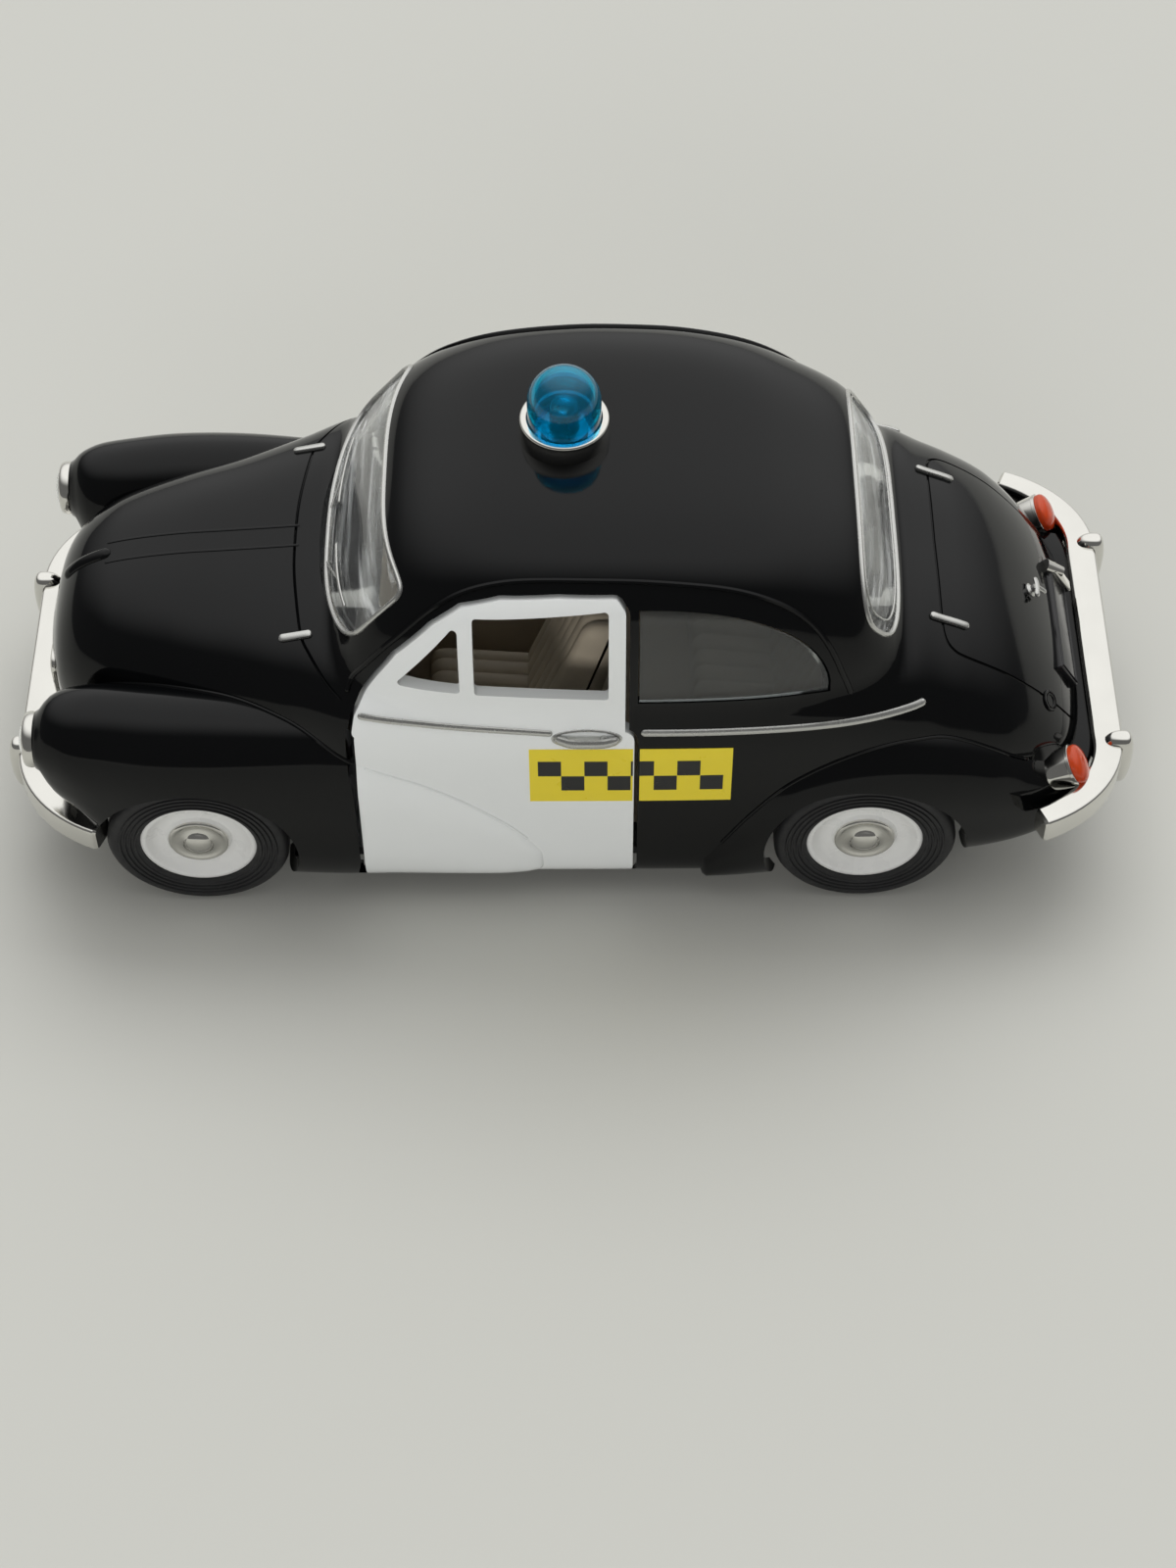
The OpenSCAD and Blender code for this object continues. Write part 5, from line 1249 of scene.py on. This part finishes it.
class TOYCAR_OT_trim(bpy.types.Operator):
    """Grille, lid hinges, boot handle and bare number plate"""
    bl_idname = "toy_car.trim"
    bl_label = "Trim"

    def execute(self, context):
        for lid, y, x0, x1, wide, high, lift in (("bonnet", 12.8, 25.6, 28.2, 0.4, 0.28, 0.1),
                                                 ("boot", 10.05, -39.4, -36.0, 0.36, 0.3, 0.12)):
            bars = [ridge([top_spot(x, side * y) for x in np.linspace(x0, x1, 9)], wide, high, lift, flat=0.7)
                    for side in (LEFT, RIGHT)]
            piece(lid + "_hinge_bars", joined(*bars), silver_print(), nodes=(lid + "_hinges",))
        self.boot_handle()
        self.plate()
        self.grille()
        return {"FINISHED"}

    def boot_handle(self):
        p, n = top_spot(REAR_X - 17.4, 0)
        stem = [(0, -0.6), (0.75, -0.6), (0.75, 0.08), (0.5, 0.2), (0.42, 0.3), (0.42, 0.7), (0, 0.75)]
        head = p + n * 0.85
        back = n.cross(Vector((0, 1, 0))).normalized()
        bow = [head + Vector((0, y, 0)) - n * 0.1 * y * y for y in np.linspace(-1.0, 1.0, 11)]
        bar = bead(bow, [n] * 11, 0.3, 0.26)
        spur = bead([head + back * t * 1.1 + n * 0.1 * t for t in np.linspace(0, 1, 6)], [n] * 6, 0.28, 0.24)
        piece("boot_handle_grip", joined(turned(stem, p, n, 32), bar, spur), silver_print(), nodes=("boot_handle",))

    def plate(self):
        place = Matrix.Translation((REAR_X - 20.9, 0, 18.3)) @ Matrix.Rotation(math.radians(-58), 4, "Y")
        board = block((-1.9, -7.5, -0.9), (1.9, 7.5, 0.55), 0.18)
        lip = bead([(x, y, 0.55) for x, y in [(-1.6, -7.2), (1.6, -7.2), (1.6, 7.2), (-1.6, 7.2)]],
                   [(0, 0, 1)] * 4, 0.14, 0.14, sides=8, closed=True)
        board = joined(board, lip)
        bmesh.ops.transform(board, matrix=place, verts=board.verts)
        black = finish("plate_black", (0.012, 0.012, 0.013), 0.2, grain=500, grip=0.06, bump=0.1, shade=0.2)
        piece("bare_plate", board, black, nodes=("rear_plate",))
        hood = joined(rod((2.2, -6.2, 0.2), (0.4, -6.2, 1.3), 0.8, 24, 0.55),
                      block((-2.2, -7.0, 0.3), (1.6, -5.5, 1.15), 0.25))
        bmesh.ops.transform(hood, matrix=place, verts=hood.verts)
        piece("plate_lamp", hood, plating(), sharp=40)

    def grille(self):
        low, high = node_box("grille")
        back = block((low.x, -6.4, low.z + 0.1), (low.x + 0.5, 6.4, high.z - 0.1))
        rim = rounded([(-6.3, low.z + 0.2), (6.3, low.z + 0.2), (6.3, high.z - 0.2), (-6.3, high.z - 0.2)], 1.2, 6)
        ahead = (1, 0, 0)
        edge = bead([(high.x - 0.3, y, z) for y, z in rim], [ahead] * len(rim), 0.35, 0.4, closed=True)
        bars = [bead([(high.x - 0.35 - 0.012 * y * y * 0.4, y, z) for y in np.linspace(-6.1, 6.1, 15)], [ahead] * 15,
                     0.34, 0.4, sides=8) for z in np.linspace(low.z + 1.1, high.z - 1.1, 5)]
        piece("grille_back", back, base_black())
        piece("grille_bars", joined(edge, *bars), plating(), nodes=("grille",))


class TOYCAR_OT_seats(bpy.types.Operator):
    """Moulded seats, dashboard and steering wheel"""
    bl_idname = "toy_car.seats"
    bl_label = "Seats"

    def execute(self, context):
        low, high = node_box("interior_tub")
        floor_z = low.z + 1.0
        parts = [block((low.x, low.y, low.z), (high.x, high.y, floor_z), 0.15)]
        front = high.x - 5
        for y in (-8.5, 8.5):
            parts += self.seat(front, front - 11.2, front - 17.4, 18.5, 34, floor_z - 0.4, y, 6)
        tail = low.x + 1.4
        parts += self.seat(tail + 14, tail + 4.6, tail, 17.5, 30, floor_z - 0.4, 0, 16.5, 2.4)
        piece("seat_moulding", joined(*parts), seat_plastic(), nodes=("interior_tub",), sharp=50)
        dressed("dashboard", seat_plastic())
        dressed("steering_wheel", dark_plastic())
        return {"FINISHED"}

    def seat(self, xf, xb, xt, zc, zt, zf, y, half, spread=1.0):
        """Cushion and leaning back, pleated along their length."""
        r = 1.3
        cushion = rounded([(xb - 1.2, zf), (xf, zf), (xf, zc), (xb - 1.2, zc - 1.2)], 2.0)
        back = rounded([(xb - 2.6, zf), (xb + r, zf), (xb + r, zc - 1.5), (xt + r, zt), (xt - 2 * r, zt)], 1.6)
        pleats = int(sizes().pleats * spread)
        deep = sizes().pleat_depth
        forms = []
        for outline in (cushion, back):
            n = len(outline)
            ways = []
            for i in range(n):
                along = outline[(i + 1) % n] - outline[i - 1]
                ways.append(Vector((along.y, -along.x)).normalized())
            rows = []
            for k in range(pleats * 8 + 1):
                t = k / (pleats * 8) * 2 - 1
                fold = abs(math.sin(math.pi * pleats * (t + 1) / 2)) ** 0.5
                edge = max(0, (abs(t) * half - (half - 1.0)) / 1.0)
                inset = (1 - fold) * deep + 1.0 * (1 - math.sqrt(max(0, 1 - edge * edge)))
                rows.append([Vector((p.x - w.x * inset, y + t * half, p.y - w.y * inset))
                             for p, w in zip(outline, ways)])
            forms.append(woven(rows, around=True, capped=True))
        return forms


class TOYCAR_OT_wheels(bpy.types.Operator):
    """Tyres, dished rims and hubcaps"""
    bl_idname = "toy_car.wheels"
    bl_label = "Wheels"

    def execute(self, context):
        for end, x in (("front", FRONT_X), ("rear", REAR_X)):
            body = end + "_wheels"
            for name, side in SIDES:
                wheel = "%s_%s_" % (end, name)
                spot, axis = (x, 0, WHEEL_Z), (0, side, 0)
                for part, profile, look, node, slot, sharp in (
                        ("tread", self.tyre(), rubber(), "tyre", "tyre_rubber", 42),
                        ("dish", self.rim(), white_plastic(), "rim", "white_plastic", 42),
                        ("cap", self.cap(), plating(), "hubcap", "plating", 50)):
                    piece(wheel + part, turned(profile, spot, axis, 96), look, body, (wheel + node,), sharp)
            dressed(end + "_axle", steel())
        return {"FINISHED"}

    def tyre(self):
        """Tyre with ribs on its wall and grooves round its tread."""
        face, back, r, seat = 22.2, 18.0, TYRE_R, 5.98
        wall = []
        for k in range(4):
            q = 8.0 - k * 0.52
            wall += [(q + 0.14, face - 0.16), (q + 0.06, face), (q - 0.06, face), (q - 0.14, face - 0.16)]
        tread = []
        for k in range(4):
            h = 18.9 + 0.72 * k
            tread += [(r, h + 0.14), (r - 0.14, h + 0.18), (r - 0.14, h + 0.3), (r, h + 0.34)]
        return [(seat, back), (8.4, back)] + arc(8.4, back + 0.9, 0.9, 0.9, -90, 0, 6) + tread + \
            arc(8.4, face - 1.06, 0.9, 0.9, 0, 90, 6) + wall + [(6.15, face - 0.18), (seat, face - 0.3), (seat, back)]

    def rim(self):
        face = 21.7
        return [(0, 17.4), (3, 17.4), (5.95, 18), (5.95, face - 0.1), (5.85, face), (5.5, face + 0.02),
                (5.3, face - 0.08), (4.9, face - 0.55), (4.4, face - 0.82), (3.8, face - 0.9), (3.4, face - 0.82),
                (3.2, face - 0.5), (0, face - 0.5)]

    def cap(self):
        face = 21.2
        return [(0, face - 0.1), (3.1, face - 0.1), (3.14, face + 0.12), (3.0, face + 0.3), (2.8, face + 0.34),
                (2.6, face + 0.22), (2.3, face + 0.12), (1.9, face + 0.16), (1.6, face + 0.3)] + \
            arc(0, face + 0.3, 1.45, 0.62, 8, 90, 12)


class TOYCAR_OT_underside(bpy.types.Operator):
    """Base plate, screws and hinge hardware"""
    bl_idname = "toy_car.underside"
    bl_label = "Underside"

    def execute(self, context):
        dressed("baseplate", base_black())
        dressed("base_screws", steel())
        for name, _ in SIDES:
            dressed(name + "_hinge_pin", steel())
            dressed(name + "_hinge_tube", door_paint())
            dressed(name + "_hinge_bracket", base_black())
        return {"FINISHED"}


class TOYCAR_PT_panel(bpy.types.Panel):
    """Pieces of the toy car"""
    bl_idname = "TOYCAR_PT_panel"
    bl_label = "Toy police saloon"
    bl_space_type = "VIEW_3D"
    bl_region_type = "UI"
    bl_category = "Toy car"

    def draw(self, context):
        layout = self.layout
        for group in (sizes(), colours()):
            for name in group.bl_rna.properties.keys():
                if name not in {"rna_type", "name"}:
                    layout.prop(group, name)
        for operator in OPERATORS:
            layout.operator(operator.bl_idname)


OPERATORS = (TOYCAR_OT_stage, TOYCAR_OT_body, TOYCAR_OT_doors, TOYCAR_OT_glazing, TOYCAR_OT_livery, TOYCAR_OT_bumpers,
             TOYCAR_OT_lamps, TOYCAR_OT_beacon, TOYCAR_OT_trim, TOYCAR_OT_seats, TOYCAR_OT_wheels, TOYCAR_OT_underside)
CLASSES = (CarSizes, CarColours) + OPERATORS + (TOYCAR_PT_panel,)


def register():
    for cls in CLASSES:
        bpy.utils.register_class(cls)
    bpy.types.Scene.toy_car_sizes = PointerProperty(type=CarSizes)
    bpy.types.Scene.toy_car_colours = PointerProperty(type=CarColours)


def unregister():
    del bpy.types.Scene.toy_car_colours
    del bpy.types.Scene.toy_car_sizes
    for cls in reversed(CLASSES):
        bpy.utils.unregister_class(cls)


def main():
    register()
    for operator in OPERATORS:
        group, name = operator.bl_idname.split(".")
        getattr(getattr(bpy.ops, group), name)()
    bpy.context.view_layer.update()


if __name__ == "__main__":
    main()
